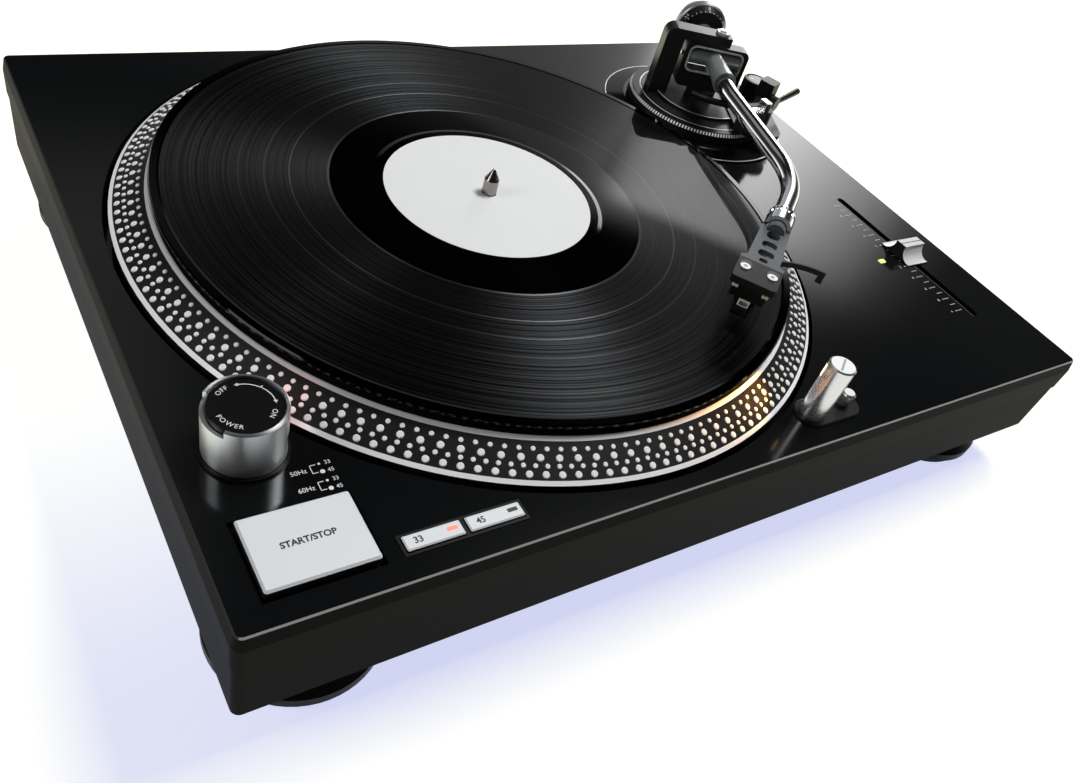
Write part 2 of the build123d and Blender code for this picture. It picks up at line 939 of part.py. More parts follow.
# Pitch fader
def pitch_track():
    length = pitch_slot_length + 2 * track_wall
    body = block(track_width, length, plate_under - track_depth, plate_under, (pitch_x, pitch_y))
    return body - block(
        pitch_slot_width, pitch_slot_length, plate_under - track_depth + track_wall / 2,
        plate_under + cut_past, (pitch_x, pitch_y),
    )


def pitch_fader():
    low = deck_top + free_gap
    top = deck_top + fader_height
    half = fader_length / 2
    ridge = fader_ridge / 2
    toe = low + fader_toe
    side = Plane.YZ * make_face(
        [
            Line((-half, low), (half, low)),
            Line((half, low), (half, toe)),
            RadiusArc((half, toe), (ridge, top), fader_scoop_radius),
            Line((ridge, top), (-ridge, top)),
            RadiusArc((-ridge, top), (-half, toe), fader_scoop_radius),
            Line((-half, toe), (-half, low)),
        ]
    )
    cap = Pos(pitch_x, pitch_y, 0) * extrude(side, fader_width / 2, both=True)
    stem = block(fader_stem_width, fader_stem_length, low - fader_stem_drop, low, (pitch_x, pitch_y))
    return cap + stem


def pitch_light():
    lens = block(
        pitch_light_width, pitch_light_depth, plate_under, deck_top + pitch_light_height, pitch_light_at,
        pitch_light_corner,
    )
    return chamfer(lens.edges().group_by(Axis.Z)[-1], pitch_light_height / 2)


save("pitch_track", pitch_track())
save("pitch_fader", pitch_fader())
save("pitch_light", pitch_light())


# Target light that pops up, and its release button
def target_seat():
    top = deck_top + target_seat_height
    oval = Pos((target_at[0] + release_at[0]) / 2, target_y, deck_top) * extrude(
        SlotCenterToCenter(release_offset, 2 * target_seat_radius), target_seat_height
    )
    oval = chamfer(oval.edges().group_by(Axis.Z)[-1], target_seat_height / 2)
    guide = rod(guide_radius - seat_fit, guide_low, deck_top, target_at)
    release_guide = rod(release_guide_radius - seat_fit, guide_low, deck_top, release_at)
    seat = oval + guide + release_guide
    seat -= rod(target_radius + running_fit, guide_low - cut_past, top + cut_past, target_at)
    return seat - rod(release_stem_radius + running_fit, guide_low - cut_past, top + cut_past, release_at)


def target_window(spare):
    low = target_top - target_lens_below_top - target_lens_height - spare
    place = Pos(*target_at, low) * Rot(0, 0, target_side) * Pos(target_radius - target_lens_depth / 2, 0, 0)
    outline = Rectangle(target_lens_depth + 2 * spare, target_lens_width + 2 * spare)
    return place * extrude(outline, target_lens_height + 2 * spare)


def target_lamp():
    lamp = rod(target_radius, deck_top - target_guide, target_top, target_at)
    lamp = chamfer(lamp.edges().group_by(Axis.Z)[-1], target_edge)
    return lamp - target_window(seat_fit)


def target_lens():
    return target_window(0) & rod(target_radius, deck_top, target_top, target_at)


def target_release():
    top = deck_top + release_height
    button = rod(release_stem_radius, deck_top - target_guide, top - release_cap, release_at)
    cap = rod(release_radius, top - release_cap, top, release_at)
    return button + chamfer(cap.edges().group_by(Axis.Z)[-1], release_edge)


save("target_seat", target_seat())
save("target_lamp", target_lamp())
save("target_lens", target_lens())
save("target_release", target_release())


# Tonearm base, height ring and the mount that rises
def arm_base():
    inner = height_ring_radius + free_gap
    flange = turned(
        [
            (inner, deck_top), (base_radius, deck_top), (base_radius, deck_top + base_edge),
            (inner + base_land, deck_top + base_height), (inner, deck_top + base_height),
        ],
        pivot_at,
    )
    return flange - rod(well_radius + well_wall / 2, deck_top - cut_past, turret_top, platter_at)


def height_ring():
    low = deck_top + button_gap
    inner = turret_radius + running_fit
    return turned(
        [
            (inner, low), (height_ring_radius, low), (height_ring_radius, deck_top + height_ring_shoulder),
            (height_ring_top_radius, deck_top + height_ring_height), (inner, deck_top + height_ring_height),
        ],
        pivot_at,
    )


def arm_mount():
    step = turret_top + turret_step_height
    mount = rod(turret_radius, deck_top + button_gap, turret_top)
    mount += rod(column_radius, deck_top - column_guide - height_travel, turret_top)
    mount += rod(turret_step_radius, turret_top, step)
    mount += rod(turret_post_radius, step, yoke_bottom - free_gap)
    mount += rod(low_pin_radius, step, yoke_bottom + low_pin_length)
    ear = Pos((ear_back + ear_front) / 2, (ear_near + ear_far) / 2, turret_top) * extrude(
        RectangleRounded(ear_front - ear_back, ear_far - ear_near, ear_corner), ear_thickness
    )
    mount += ear
    mount -= rod(knob_pin_radius + running_fit, turret_top, ear_top + cut_past, knob_place)
    return arm_place * mount


def gimbal_bracket():
    inner = bracket_left + bracket_post_width
    top = deck_top + bracket_top
    outline = make_face(
        Polyline(
            (bracket_left, turret_top), (bracket_left, top), (bracket_right, top),
            (bracket_right, top - bracket_bar), (inner, top - bracket_bar), (inner, turret_top), close=True,
        )
    )
    corner = outline.vertices().sort_by(Axis.Y)[-2:].sort_by(Axis.X)[0]
    outline = fillet(corner, bracket_round)
    plate = Plane.YZ * outline
    plate = extrude(plate, bracket_half, both=True)
    plate -= rod(turret_step_radius + seat_fit, turret_top - cut_past, turret_top + turret_step_height)
    plate -= rod(pin_radius + seat_fit, top - bracket_bar - cut_past, top + cut_past)
    return arm_place * plate


def pivot_screw():
    top = deck_top + bracket_top
    screw = rod(pin_radius, yoke_top - pin_depth + seat_fit, top)
    screw += Pos(0, 0, top) * extrude(RegularPolygon(nut_radius, 6), nut_height)
    head = rod(cone_screw_radius, top + nut_height, top + nut_height + cone_screw_height)
    slot = block(
        2 * cone_screw_radius, cone_screw_slot, top + nut_height + cone_screw_slot, top + 2 * nut_height
    )
    return arm_place * (screw + head - slot)


def gimbal_yoke():
    frame = Pos(0, (yoke_bottom + yoke_top) / 2) * RectangleRounded(
        2 * yoke_half_width, yoke_top - yoke_bottom, yoke_round
    )
    window = Pos(0, arm_axis + (window_low + window_high) / 2) * RectangleRounded(
        2 * window_half_width, window_high - window_low, window_round
    )
    plate = extrude(Plane.YZ * (frame - window), yoke_half_thickness, both=True)
    plate -= rod(pin_radius + running_fit, yoke_top - pin_depth, yoke_top + cut_past)
    plate -= rod(
        low_pin_radius + running_fit, yoke_bottom - cut_past, yoke_bottom + low_pin_length + seat_fit
    )
    side = Pos(0, 0, arm_axis) * Rot(90, 0, 0) * Cylinder(
        barrel_pivot_radius + seat_fit, 2 * (yoke_half_width + cut_past)
    )
    return arm_place * (plate - side)


def gimbal_pivots():
    pivots = []
    for end in (-1, 1):
        inner = end * (window_half_width - free_gap - barrel_pivot_depth + seat_fit)
        outer = end * (yoke_half_width + barrel_pivot_stand)
        pin = Pos(0, (inner + outer) / 2, arm_axis) * Rot(90, 0, 0) * Cylinder(
            barrel_pivot_radius, abs(outer - inner)
        )
        pivots.append(arm_place * pin)
    return group(pivots)


save("arm_base", arm_base())
save("height_ring", height_ring())
save("arm_mount", arm_mount())
save("gimbal_bracket", gimbal_bracket())
save("pivot_screw", pivot_screw())
save("gimbal_yoke", gimbal_yoke())
save("gimbal_pivots", gimbal_pivots())


# Tonearm: bearing housing, S-shaped tube and rear stub, about the level arm axis
def arm_housing():
    half = window_half_width - free_gap
    body = Rot(90, 0, 0) * Cylinder(barrel_radius, 2 * half)
    body += lying_rod(housing_back_radius, -housing_back, 0)
    body += lying_cone(cone_back_radius, cone_front_radius, 0, cone_front)
    body -= lying_rod(tube_radius + seat_fit, cone_front - tube_seat, cone_front + cut_past)
    body -= lying_rod(cone_front_radius - cone_lip, cone_front - cone_recess, cone_front + cut_past)
    body -= lying_rod(stub_radius + seat_fit, -housing_back - cut_past, -housing_back + stub_seat)
    for end in (-1, 1):
        cup = Pos(0, end * (half - barrel_pivot_depth / 2), 0) * Rot(90, 0, 0) * Cylinder(
            barrel_pivot_radius + running_fit, barrel_pivot_depth + 2 * seat_fit
        )
        body -= cup
    return arm_level * body


def tube_path():
    heading = radians(shell_heading)
    return FilletPolyline(
        (cone_front - tube_seat + seat_fit, 0), (first_bend_at, 0), bend_end,
        (bend_end[0] + tube_end * cos(heading), bend_end[1] + tube_end * sin(heading)),
        radius=[first_bend_radius, second_bend_radius],
    )


def arm_tube():
    path = tube_path()
    ring = Plane(path @ 0, z_dir=path % 0) * (Circle(tube_radius) - Circle(tube_radius - tube_wall))
    return arm_level * sweep(ring, path=path)


def rear_stub():
    return arm_level * lying_rod(stub_radius, -stub_end, -housing_back + stub_seat - seat_fit)


save("arm_housing", arm_housing())
save("arm_tube", arm_tube())
save("rear_stub", rear_stub())


# Counterweight: a threaded bush that travels, the weight that turns on it, and the force dial
def weight_bush():
    step = -weight_front - bush_step
    bush = lying_rod(bush_radius, -weight_back + bush_cover, step)
    bush += lying_rod(bush_nose_radius, step, -weight_front + dial_length)
    return arm_level * (bush - lying_rod(stub_radius + running_fit, -weight_back - cut_past, 0))


def counterweight():
    tail = -weight_front - weight_full
    weight = lying_rod(weight_radius, tail, -weight_front)
    weight += lying_cone(weight_tail_radius, weight_radius, -weight_back, tail)
    ends = weight.edges().filter_by(GeomType.CIRCLE).sort_by(Axis.X)
    weight = chamfer([ends[0], ends[-1]], weight_groove)
    step = -weight_front - bush_step
    weight -= lying_rod(bush_radius + running_fit, -weight_back + bush_cover - seat_fit, step + seat_fit)
    weight -= lying_rod(bush_nose_radius + running_fit, step, -weight_front + cut_past)
    weight -= lying_rod(stub_radius + free_gap, -weight_back - cut_past, step)
    return arm_level * weight


def weight_dial():
    dial = lying_cone(dial_radius, dial_front_radius, -weight_front + button_gap, -weight_front + dial_length)
    return arm_level * (dial - lying_rod(bush_nose_radius + running_fit, -weight_back, 0))


save("weight_bush", weight_bush())
save("counterweight", counterweight())
save("weight_dial", weight_dial())


# Headshell, with the cartridge under it, on the end of the tube
def headshell_collar():
    ring = lying_rod(collar_radius, collar_from, collar_from + collar_length)
    collar_to = collar_from + collar_length
    flute_from = collar_from + collar_plain_back
    flute_length = collar_to - collar_plain_front - flute_from
    flute = Pos(flute_from + flute_length / 2, collar_radius, 0) * Rot(45, 0, 0) * Box(
        flute_length, collar_flute, collar_flute
    )
    ring -= [Rot(index * 360 / collar_flutes, 0, 0) * flute for index in range(collar_flutes)]
    ring -= lying_rod(tube_radius + running_fit, collar_from - cut_past, collar_to + cut_past)
    return shell_place * ring


def headshell_outline():
    flare_to = shell_shoulder + shell_flare
    return make_face(
        Polyline(
            (shell_neck_from, -shell_neck_width / 2), (shell_shoulder, -shell_waist_width / 2),
            (flare_to, -shell_width / 2), (shell_front, -shell_width / 2), (shell_front, shell_width / 2),
            (flare_to, shell_width / 2), (shell_shoulder, shell_waist_width / 2),
            (shell_neck_from, shell_neck_width / 2), close=True,
        )
    )


def headshell():
    outline = headshell_outline()
    outline = fillet(outline.vertices().sort_by(Axis.X)[-2:], shell_round)
    plate = Pos(0, 0, -shell_sink) * extrude(outline, shell_plate)
    rim = outline - offset(outline, -shell_rib_width)
    plate += Pos(0, 0, -shell_sink - shell_rib) * extrude(rim, shell_rib)
    plate += lying_rod(shell_plug_radius, tube_end + seat_fit, shell_neck_from + shell_plug_grip)
    cuts = [
        Pos(at, 0) * RectangleRounded(length, width, length * shell_hole_round)
        for at, width, length in shell_holes
    ]
    slot = SlotOverall(shell_slot_length, shell_slot_width)
    cuts += [Pos(cart_screw_at, side * cart_screw_spacing / 2) * slot for side in (-1, 1)]
    plate -= [extrude(cut, shell_plate + cut_past, both=True) for cut in cuts]
    plate -= [
        rod(
            cart_screw_head + cart_screw_room, screw_seat, shell_top + cut_past,
            (cart_screw_at, side * cart_screw_spacing / 2),
        )
        for side in (-1, 1)
    ]
    return shell_place * plate


def finger_lift():
    middle = shell_top - lift_blade_height / 2
    route = ThreePointArc((*lift_root, middle), (*lift_middle, middle), (*lift_tip, middle))
    start = Plane(route @ 0, x_dir=(0, 0, 1), z_dir=route % 0)
    blade = sweep(start * Rectangle(lift_blade_height, lift_blade), path=route)
    end = Plane(route @ 1, x_dir=(0, 0, 1), z_dir=route % 1)
    tip_height = lift_blade_height + lift_tip_drop
    blade += extrude(end * Pos(-lift_tip_drop / 2, 0) * Rectangle(tip_height, lift_blade), -lift_tip_length)
    plate = Pos(0, 0, shell_top) * extrude(headshell_outline(), 2 * shell_plate, both=True)
    return shell_place * (blade - plate)


def cartridge():
    top = -shell_sink
    keel_top = top - cart_height
    keel_back = cart_back + cart_keel_back
    keel_front = cart_front - cart_keel_front
    body = block(
        cart_front - cart_back, cart_width, keel_top, top, ((cart_back + cart_front) / 2, 0), cart_corner
    )
    body += block(
        keel_front - keel_back, cart_keel_width, keel_top - cart_keel_height, keel_top,
        ((keel_back + keel_front) / 2, 0), cart_keel_corner,
    )
    for side in (-1, 1):
        body -= rod(
            cart_screw_radius + seat_fit, top - cart_screw_depth - seat_fit, top + cut_past,
            (cart_screw_at, side * cart_screw_spacing / 2),
        )
    return shell_place * body


def cartridge_screws():
    screws = []
    for side in (-1, 1):
        at = (cart_screw_at, side * cart_screw_spacing / 2)
        screw = rod(cart_screw_head, screw_seat, screw_seat + cart_screw_head_height, at)
        screw -= Pos(*at, screw_seat + cart_screw_head_height) * Box(
            2 * cart_screw_head, cart_screw_slot, cart_screw_head_height
        )
        screw += rod(cart_screw_radius, -shell_sink - cart_screw_depth, screw_seat, at)
        screws.append(shell_place * screw)
    return group(screws)


def stylus():
    block_top = -shell_sink - cart_height - cart_keel_height
    tip = groove_top + stylus_gap - arm_axis
    block_low = block_top - stylus_block_height
    back = stylus_block_front - stylus_block_length
    side = make_face(
        Polyline(
            (back, block_top), (stylus_block_front - stylus_nose, block_top),
            (stylus_block_front, block_top - stylus_nose), (stylus_block_front - stylus_nose, block_low),
            (back + stylus_nose, block_low), close=True,
        )
    )
    body = extrude(Plane.XZ * side, stylus_block_width / 2, both=True)
    needle = Pos(stylus_at, 0, tip) * Cone(
        stylus_point_radius, stylus_root_radius, block_low - tip, align=standing
    )
    return shell_place * (body + needle)


save("headshell_collar", headshell_collar())
save("headshell", headshell())
save("finger_lift", finger_lift())
save("cartridge", cartridge())
save("cartridge_screws", cartridge_screws())
save("stylus", stylus())


# Arm rest with the cueing lift, and the anti-skate knob, on the arm mount
def rest_bar(width, low, high):
    run = hypot(park_at[0] - rest_post[0], park_at[1] - rest_post[1])
    turn = degrees(atan2(park_at[1] - rest_post[1], park_at[0] - rest_post[0]))
    return Pos(*rest_post, 0) * Rot(0, 0, turn) * block(run, width, low, high, (run / 2, 0))


def arm_rest():
    bar_low = deck_top + rest_bar_low
    bar_high = bar_low + rest_bar_height
    post = Pos(*rest_post, 0) * Rot(0, 0, lever_bearing) * block(
        rest_post_size, rest_post_size, ear_top, arm_axis, corner=rest_post_round
    )
    body = post + rest_bar(2 * rest_bar_half, bar_low, bar_high)
    body += rod(lift_boss_radius, ear_top, bar_high, lift_post)
    cradle = Pos(*park_at, 0) * Rot(0, 0, park_heading)
    shelf = block(cradle_length, 2 * cradle_half, bar_low, cradle_top)
    wall = block(
        cradle_length, cradle_wall, bar_low, cradle_top + cradle_wall_height,
        (0, cradle_half + cradle_wall / 2),
    )
    body += cradle * (shelf + wall)
    body -= rod(lift_stem_radius + running_fit, ear_top, bar_high + cut_past, lift_post)
    pin_place = Pos(*rest_post, deck_top + lever_height) * Rot(0, 0, lever_bearing)
    pin_place *= Pos(0, -rest_post_size / 2, 0) * Rot(90, 0, 0)
    body -= pin_place * Cylinder(lever_pin_radius + running_fit, 2 * lever_pin_length)
    return arm_place * body


def arm_clip():
    lip_low = cradle_top + cradle_wall_height
    strip = make_face(
        Polyline(
            (-cradle_half, cradle_top), (cradle_half, cradle_top),
            (cradle_half, lip_low), (cradle_half + clip_lip, lip_low),
            (cradle_half + clip_lip, lip_low + clip_thickness),
            (cradle_half - clip_thickness, lip_low + clip_thickness),
            (cradle_half - clip_thickness, cradle_top + clip_thickness),
            (-cradle_half, cradle_top + clip_thickness), close=True,
        )
    )
    clip = extrude(Plane.YZ * strip, cradle_length / 2 - clip_margin, both=True)
    return arm_place * Pos(*park_at, 0) * Rot(0, 0, park_heading) * clip


def cue_lever():
    inner = -rest_post_size / 2 - button_gap
    middle = inner - lever_hub_length / 2
    lever = Pos(0, middle, 0) * Rot(90, 0, 0) * Cylinder(lever_hub_radius, lever_hub_length)
    lever += Pos(0, inner, 0) * Rot(-90, 0, 0) * Cylinder(lever_pin_radius, lever_pin_length, align=standing)
    lever += Pos(0, middle, 0) * lying_cone(lever_root_radius, lever_tip_radius, 0, lever_length)
    return arm_place * Pos(*rest_post, deck_top + lever_height) * Rot(0, 0, lever_bearing) * lever


def lift_platform():
    top = arm_axis - tube_radius - free_gap
    reach = hypot(*lift_post)
    bearing = degrees(atan2(lift_post[1], lift_post[0]))
    arc = sector(reach + lift_bar_half, top - lift_bar_height, top, inward_turn - lift_overrun_angle, bearing)
    arc -= rod(reach - lift_bar_half, top - 2 * lift_bar_height, top + cut_past)
    head = rod(lift_stem_radius + lift_head_rim, top - lift_bar_height, top, lift_post)
    stem = rod(lift_stem_radius, ear_top + free_gap, top - lift_bar_height, lift_post)
    return arm_place * (arc + head + stem)


def anti_skate_knob():
    low = ear_top + button_gap
    knob = rod(knob_radius, low, low + knob_height)
    knob = chamfer(knob.edges().group_by(Axis.Z)[-1], knob_edge)
    flute_height = knob_height - knob_flute_stop
    flute = Pos(knob_radius, 0, low + flute_height / 2) * Rot(0, 0, 45)
    flute *= Box(knob_flute, knob_flute, flute_height)
    knob -= [Rot(0, 0, index * 360 / knob_flutes) * flute for index in range(knob_flutes)]
    knob -= rod(knob_cap_radius, low + knob_height - knob_cap_sink, low + knob_height + cut_past)
    knob += rod(knob_pin_radius, turret_top + seat_fit, low)
    return arm_place * Pos(*knob_place, 0) * knob


save("arm_rest", arm_rest())
save("arm_clip", arm_clip())
save("cue_lever", cue_lever())
save("lift_platform", lift_platform())
save("anti_skate_knob", anti_skate_knob())


# Inside and back of the plinth
def circuit_board():
    low = floor_top + board_standoff
    board = block(*board_size, low, low + board_thickness, board_place)
    for x, y, width, depth, height in board_parts:
        board += block(
            width, depth, low + board_thickness, low + board_thickness + height,
            (board_place[0] + x, board_place[1] + y),
        )
    return board


def transformer():
    coil_top = floor_top + transformer_height
    core = block(*transformer_core, floor_top, coil_top - transformer_lid, transformer_place)
    return core + block(*transformer_coil, floor_top, coil_top, transformer_place, transformer_corner)


def mains_inlet():
    at = (mains_bay_x, back_wall + inlet_depth / 2)
    middle = bay_low + bay_height / 2
    body = block(inlet_width, inlet_depth, middle - inlet_height / 2, middle + inlet_height / 2, at)
    body -= block(
        inlet_width - 2 * inlet_wall, inlet_depth, middle - inlet_height / 2 + inlet_wall,
        middle + inlet_height / 2 - inlet_wall, (at[0], at[1] + inlet_wall),
    )
    pin_length = inlet_depth - inlet_wall
    return body + [
        back_rod(inlet_pin_radius, mains_bay_x + side * inlet_pin_spacing / 2, middle, pin_length)
        for side in (-1, 1)
    ]


def back_rod(radius, x, z, length):
    return Pos(x, back_wall, z) * Rot(-90, 0, 0) * Cylinder(radius, length, align=standing)


def line_sockets():
    middle = bay_low + bay_height / 2
    sockets = []
    for side in (-1, 1):
        x = line_bay_x + (side * line_spacing - ground_offset) / 2
        socket = back_rod(line_flange, x, middle, line_flange_thickness)
        socket += back_rod(line_radius, x, middle, line_length)
        bore = Pos(0, line_flange_thickness, 0) * back_rod(line_bore, x, middle, line_length)
        sockets.append(socket - bore)
    return group(sockets)


def ground_terminal():
    middle = bay_low + bay_height / 2
    x = line_bay_x + ground_offset
    post = back_rod(ground_post_radius, x, middle, ground_length)
    return post + Pos(0, ground_nut_from, 0) * back_rod(ground_radius, x, middle, ground_nut_length)


save("circuit_board", circuit_board())
save("transformer", transformer())
save("mains_inlet", mains_inlet())
save("line_sockets", line_sockets())
save("ground_terminal", ground_terminal())
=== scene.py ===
# %% [markdown]
# # A record player with a strobe-rimmed platter
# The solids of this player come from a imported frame, and they stay as they are. This lesson gives each of
# them a finish, adds the printing, the strobe dots and the small fittings that are too fine for the solids,
# and sets up the camera, the floor and the lamps of a plain studio. All lengths are in metres, +Z is up.

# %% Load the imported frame
import json
from math import atan2, cos, pi, radians, sin, tau

import bmesh
import bpy
from mathutils import Matrix, Vector

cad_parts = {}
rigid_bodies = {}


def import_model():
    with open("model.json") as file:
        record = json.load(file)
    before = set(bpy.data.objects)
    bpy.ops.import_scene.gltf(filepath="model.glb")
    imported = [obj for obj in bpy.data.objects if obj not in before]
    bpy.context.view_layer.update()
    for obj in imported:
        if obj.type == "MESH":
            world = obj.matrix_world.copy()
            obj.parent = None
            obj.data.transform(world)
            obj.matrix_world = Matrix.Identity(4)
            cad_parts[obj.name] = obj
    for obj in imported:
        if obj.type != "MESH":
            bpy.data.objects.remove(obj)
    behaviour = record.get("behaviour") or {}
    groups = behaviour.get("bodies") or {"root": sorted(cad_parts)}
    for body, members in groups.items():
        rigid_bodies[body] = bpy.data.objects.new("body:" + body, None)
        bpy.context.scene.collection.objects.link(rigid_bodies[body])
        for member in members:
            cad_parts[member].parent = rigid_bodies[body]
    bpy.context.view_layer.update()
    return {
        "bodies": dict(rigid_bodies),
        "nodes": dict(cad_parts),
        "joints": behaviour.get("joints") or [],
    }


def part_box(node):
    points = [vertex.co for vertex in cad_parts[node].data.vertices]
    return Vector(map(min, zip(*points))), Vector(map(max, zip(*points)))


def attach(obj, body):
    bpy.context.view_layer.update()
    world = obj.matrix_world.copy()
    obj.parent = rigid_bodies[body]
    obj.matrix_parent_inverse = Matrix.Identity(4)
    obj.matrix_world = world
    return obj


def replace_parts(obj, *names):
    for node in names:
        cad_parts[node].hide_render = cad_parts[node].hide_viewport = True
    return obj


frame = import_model()
scene = bpy.context.scene
scene.view_settings.view_transform = "Standard"

# %% [markdown]
# The frame's joints say where things turn: the platter's axis, the power ring's axis, the tonearm's pivot.
# Reading those places from the frame, instead of typing them again, keeps every added piece on its carrier.

# %% Axes and heights that the pieces share
MM = 0.001
joint_place = {joint["name"]: Vector(joint["pos_m"]) for joint in frame["joints"] if "pos_m" in joint}
joint_axis = {joint["name"]: Vector(joint["axis"]).normalized() for joint in frame["joints"]}
platter_axis = joint_place["platter_spin"]
tower_axis = joint_place["power_turn"]
arm_pivot = joint_place["arm_yaw"]
knob_axis = joint_place["anti_skate_turn"]
shell_start = joint_place["collar_turn"]
arm_forward = joint_axis["weight_slide"]
shell_forward = joint_axis["collar_turn"]
upward = Vector((0, 0, 1))
deck_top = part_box("top_deck")[1].z
print("deck top at", round(deck_top, 4), "arm axis at", round(arm_pivot.z, 4))


def axes_matrix(origin, right, up):
    """A placing matrix whose X runs along right, Y along up and Z out of the surface."""
    right = right.normalized()
    out = right.cross(up).normalized()
    up = out.cross(right)
    turn = Matrix((right, up, out)).transposed().to_4x4()
    return Matrix.Translation(origin) @ turn


def flat_on(x, y, z, turn=0.0):
    """A place on a level surface, turned about the upright axis."""
    return Matrix.Translation((x, y, z)) @ Matrix.Rotation(turn, 4, "Z")


def aimed(place, aim):
    """A place for a lamp, which shines along its own -Z, so that it looks at a point."""
    look = (Vector(place) - Vector(aim)).normalized()
    side = upward.cross(look).normalized()
    return axes_matrix(Vector(place), side, look.cross(side))


def middle_of(node):
    low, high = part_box(node)
    return (low + high) / 2


# %% [markdown]
# The camera stands at the front left corner and looks down on the deck, as a visitor leaning over the player
# would. Its place and its three axes were worked out from the straight edges of the plinth and the round edge
# of the record. The small shift is what the framing needs.

# %% Camera
camera_data = bpy.data.cameras.new("studio_camera")
camera_data.sensor_fit = "HORIZONTAL"
camera_data.sensor_width = 36.0
camera_data.lens = 30.33
camera_data.shift_x = 0.03215
camera_data.shift_y = 0.04368
camera_data.clip_start = 0.01
camera = bpy.data.objects.new("studio_camera", camera_data)
camera_right = Vector((0.84773, -0.48091, 0.22377))
camera_up = Vector((0.22419, 0.70720, 0.67053))
camera_place = Vector((-0.271364, -0.307901, deck_top + 0.244465))
camera.matrix_world = axes_matrix(camera_place, camera_right, camera_up)
scene.collection.objects.link(camera)
scene.camera = camera
print("camera at", [round(value, 3) for value in camera.location])

# %% [markdown]
# A black glossy object shows its surroundings more than its colour. The studio has a pale wall behind to
# the right, which the deck and the record mirror, and it is part of the world's colour further down. Here
# are the lamps: a soft one high on the right, and a weak one from the left. The deck mirrors neither of
# them towards the camera, so it stays black.

# %% Lamps
player_middle = Vector((0.0, 0.0, 0.05))


def softbox(name, place, width, height, watts, colour=(1.0, 1.0, 1.0)):
    lamp = bpy.data.lights.new(name, "AREA")
    lamp.shape = "RECTANGLE"
    lamp.size = width
    lamp.size_y = height
    lamp.energy = watts
    lamp.color = colour
    box = bpy.data.objects.new(name, lamp)
    box.matrix_world = aimed(place, player_middle)
    scene.collection.objects.link(box)


softbox("overhead_softbox", (0.64, 0.02, 1.40), width=0.60, height=0.42, watts=20.0)
softbox("left_softbox", (-1.15, 0.10, 0.75), width=0.5, height=0.7, watts=4.0, colour=(0.96, 0.98, 1.0))
print("lamps", [lamp.name for lamp in bpy.data.lights])

# %% [markdown]
# The materials and the world are node trees. A few small helpers add one node each and join it up, so that
# the trees further down read like sums.

# %% Node helpers
def feed(tree, value, socket):
    """Set a socket to a number or a colour, or join it to another node's output."""
    if isinstance(value, (int, float)):
        socket.default_value = value
    elif isinstance(value, tuple):
        socket.default_value = (*value, 1)
    else:
        tree.links.new(value, socket)


def math_node(tree, operation, first, second=None):
    node = tree.nodes.new("ShaderNodeMath")
    node.operation = operation
    feed(tree, first, node.inputs[0])
    if second is not None:
        feed(tree, second, node.inputs[1])
    return node.outputs[0]


def vector_node(tree, operation, first, second=None, output="Vector"):
    node = tree.nodes.new("ShaderNodeVectorMath")
    node.operation = operation
    tree.links.new(first, node.inputs[0])
    if second is not None:
        tree.links.new(second, node.inputs["Scale" if operation == "SCALE" else 1])
    return node.outputs[output]


def object_place(tree):
    return tree.nodes.new("ShaderNodeTexCoord").outputs["Object"]


def parts_of(tree, vector):
    """The X, Y and Z of a vector."""
    node = tree.nodes.new("ShaderNodeSeparateXYZ")
    tree.links.new(vector, node.inputs[0])
    return node.outputs


def colour_mix(tree, factor, first, second):
    node = tree.nodes.new("ShaderNodeMix")
    node.data_type = "RGBA"
    tree.links.new(factor, node.inputs["Factor"])
    for label, value in (("A", first), ("B", second)):
        feed(tree, value, [entry for entry in node.inputs if entry.name == label and entry.type == "RGBA"][0])
    return [leave for leave in node.outputs if leave.type == "RGBA"][0]


def value_mix(tree, factor, first, second):
    node = tree.nodes.new("ShaderNodeMapRange")
    for label, value in (("Value", factor), ("To Min", first), ("To Max", second)):
        feed(tree, value, node.inputs[label])
    return node.outputs[0]


def ramp(tree, value, low, high, at_low=0.0, at_high=1.0):
    """A smooth step from one level to another while a value goes from low to high."""
    node = tree.nodes.new("ShaderNodeMapRange")
    node.interpolation_type = "SMOOTHSTEP"
    labels = ("Value", "From Min", "From Max", "To Min", "To Max")
    for label, level in zip(labels, (value, low, high, at_low, at_high)):
        feed(tree, level, node.inputs[label])
    return node.outputs[0]


def new_finish(name, **constants):
    """A material, its tree and its shader, which holds the values that are the same all over."""
    finish = bpy.data.materials.new(name)
    finish.use_nodes = True
    shader = finish.node_tree.nodes["Principled BSDF"]
    for label, value in constants.items():
        feed(finish.node_tree, value, shader.inputs[label.replace("_", " ")])
    return finish, finish.node_tree, shader


def dress(tree, shader, colour, roughness):
    tree.links.new(colour, shader.inputs["Base Color"])
    tree.links.new(roughness, shader.inputs["Roughness"])


print("node helpers ready")

# %% [markdown]
# The sheet of paper under the player is white to the camera and to anything polished, and it still takes the
# player's shadow. Most of its brightness is its own, seen only by camera and mirror rays, and the rest is
# lamp light, so the shadow stays pale. In front of the player the paper's own light is weaker and bluer: that
# is a painted blue shade, which lets the lamp's real shadow show there and tints it blue.

# %% Floor
paper_painted_blue_shade, paper_far = (0.63, 0.66, 0.88), (0.90, 0.91, 0.96)


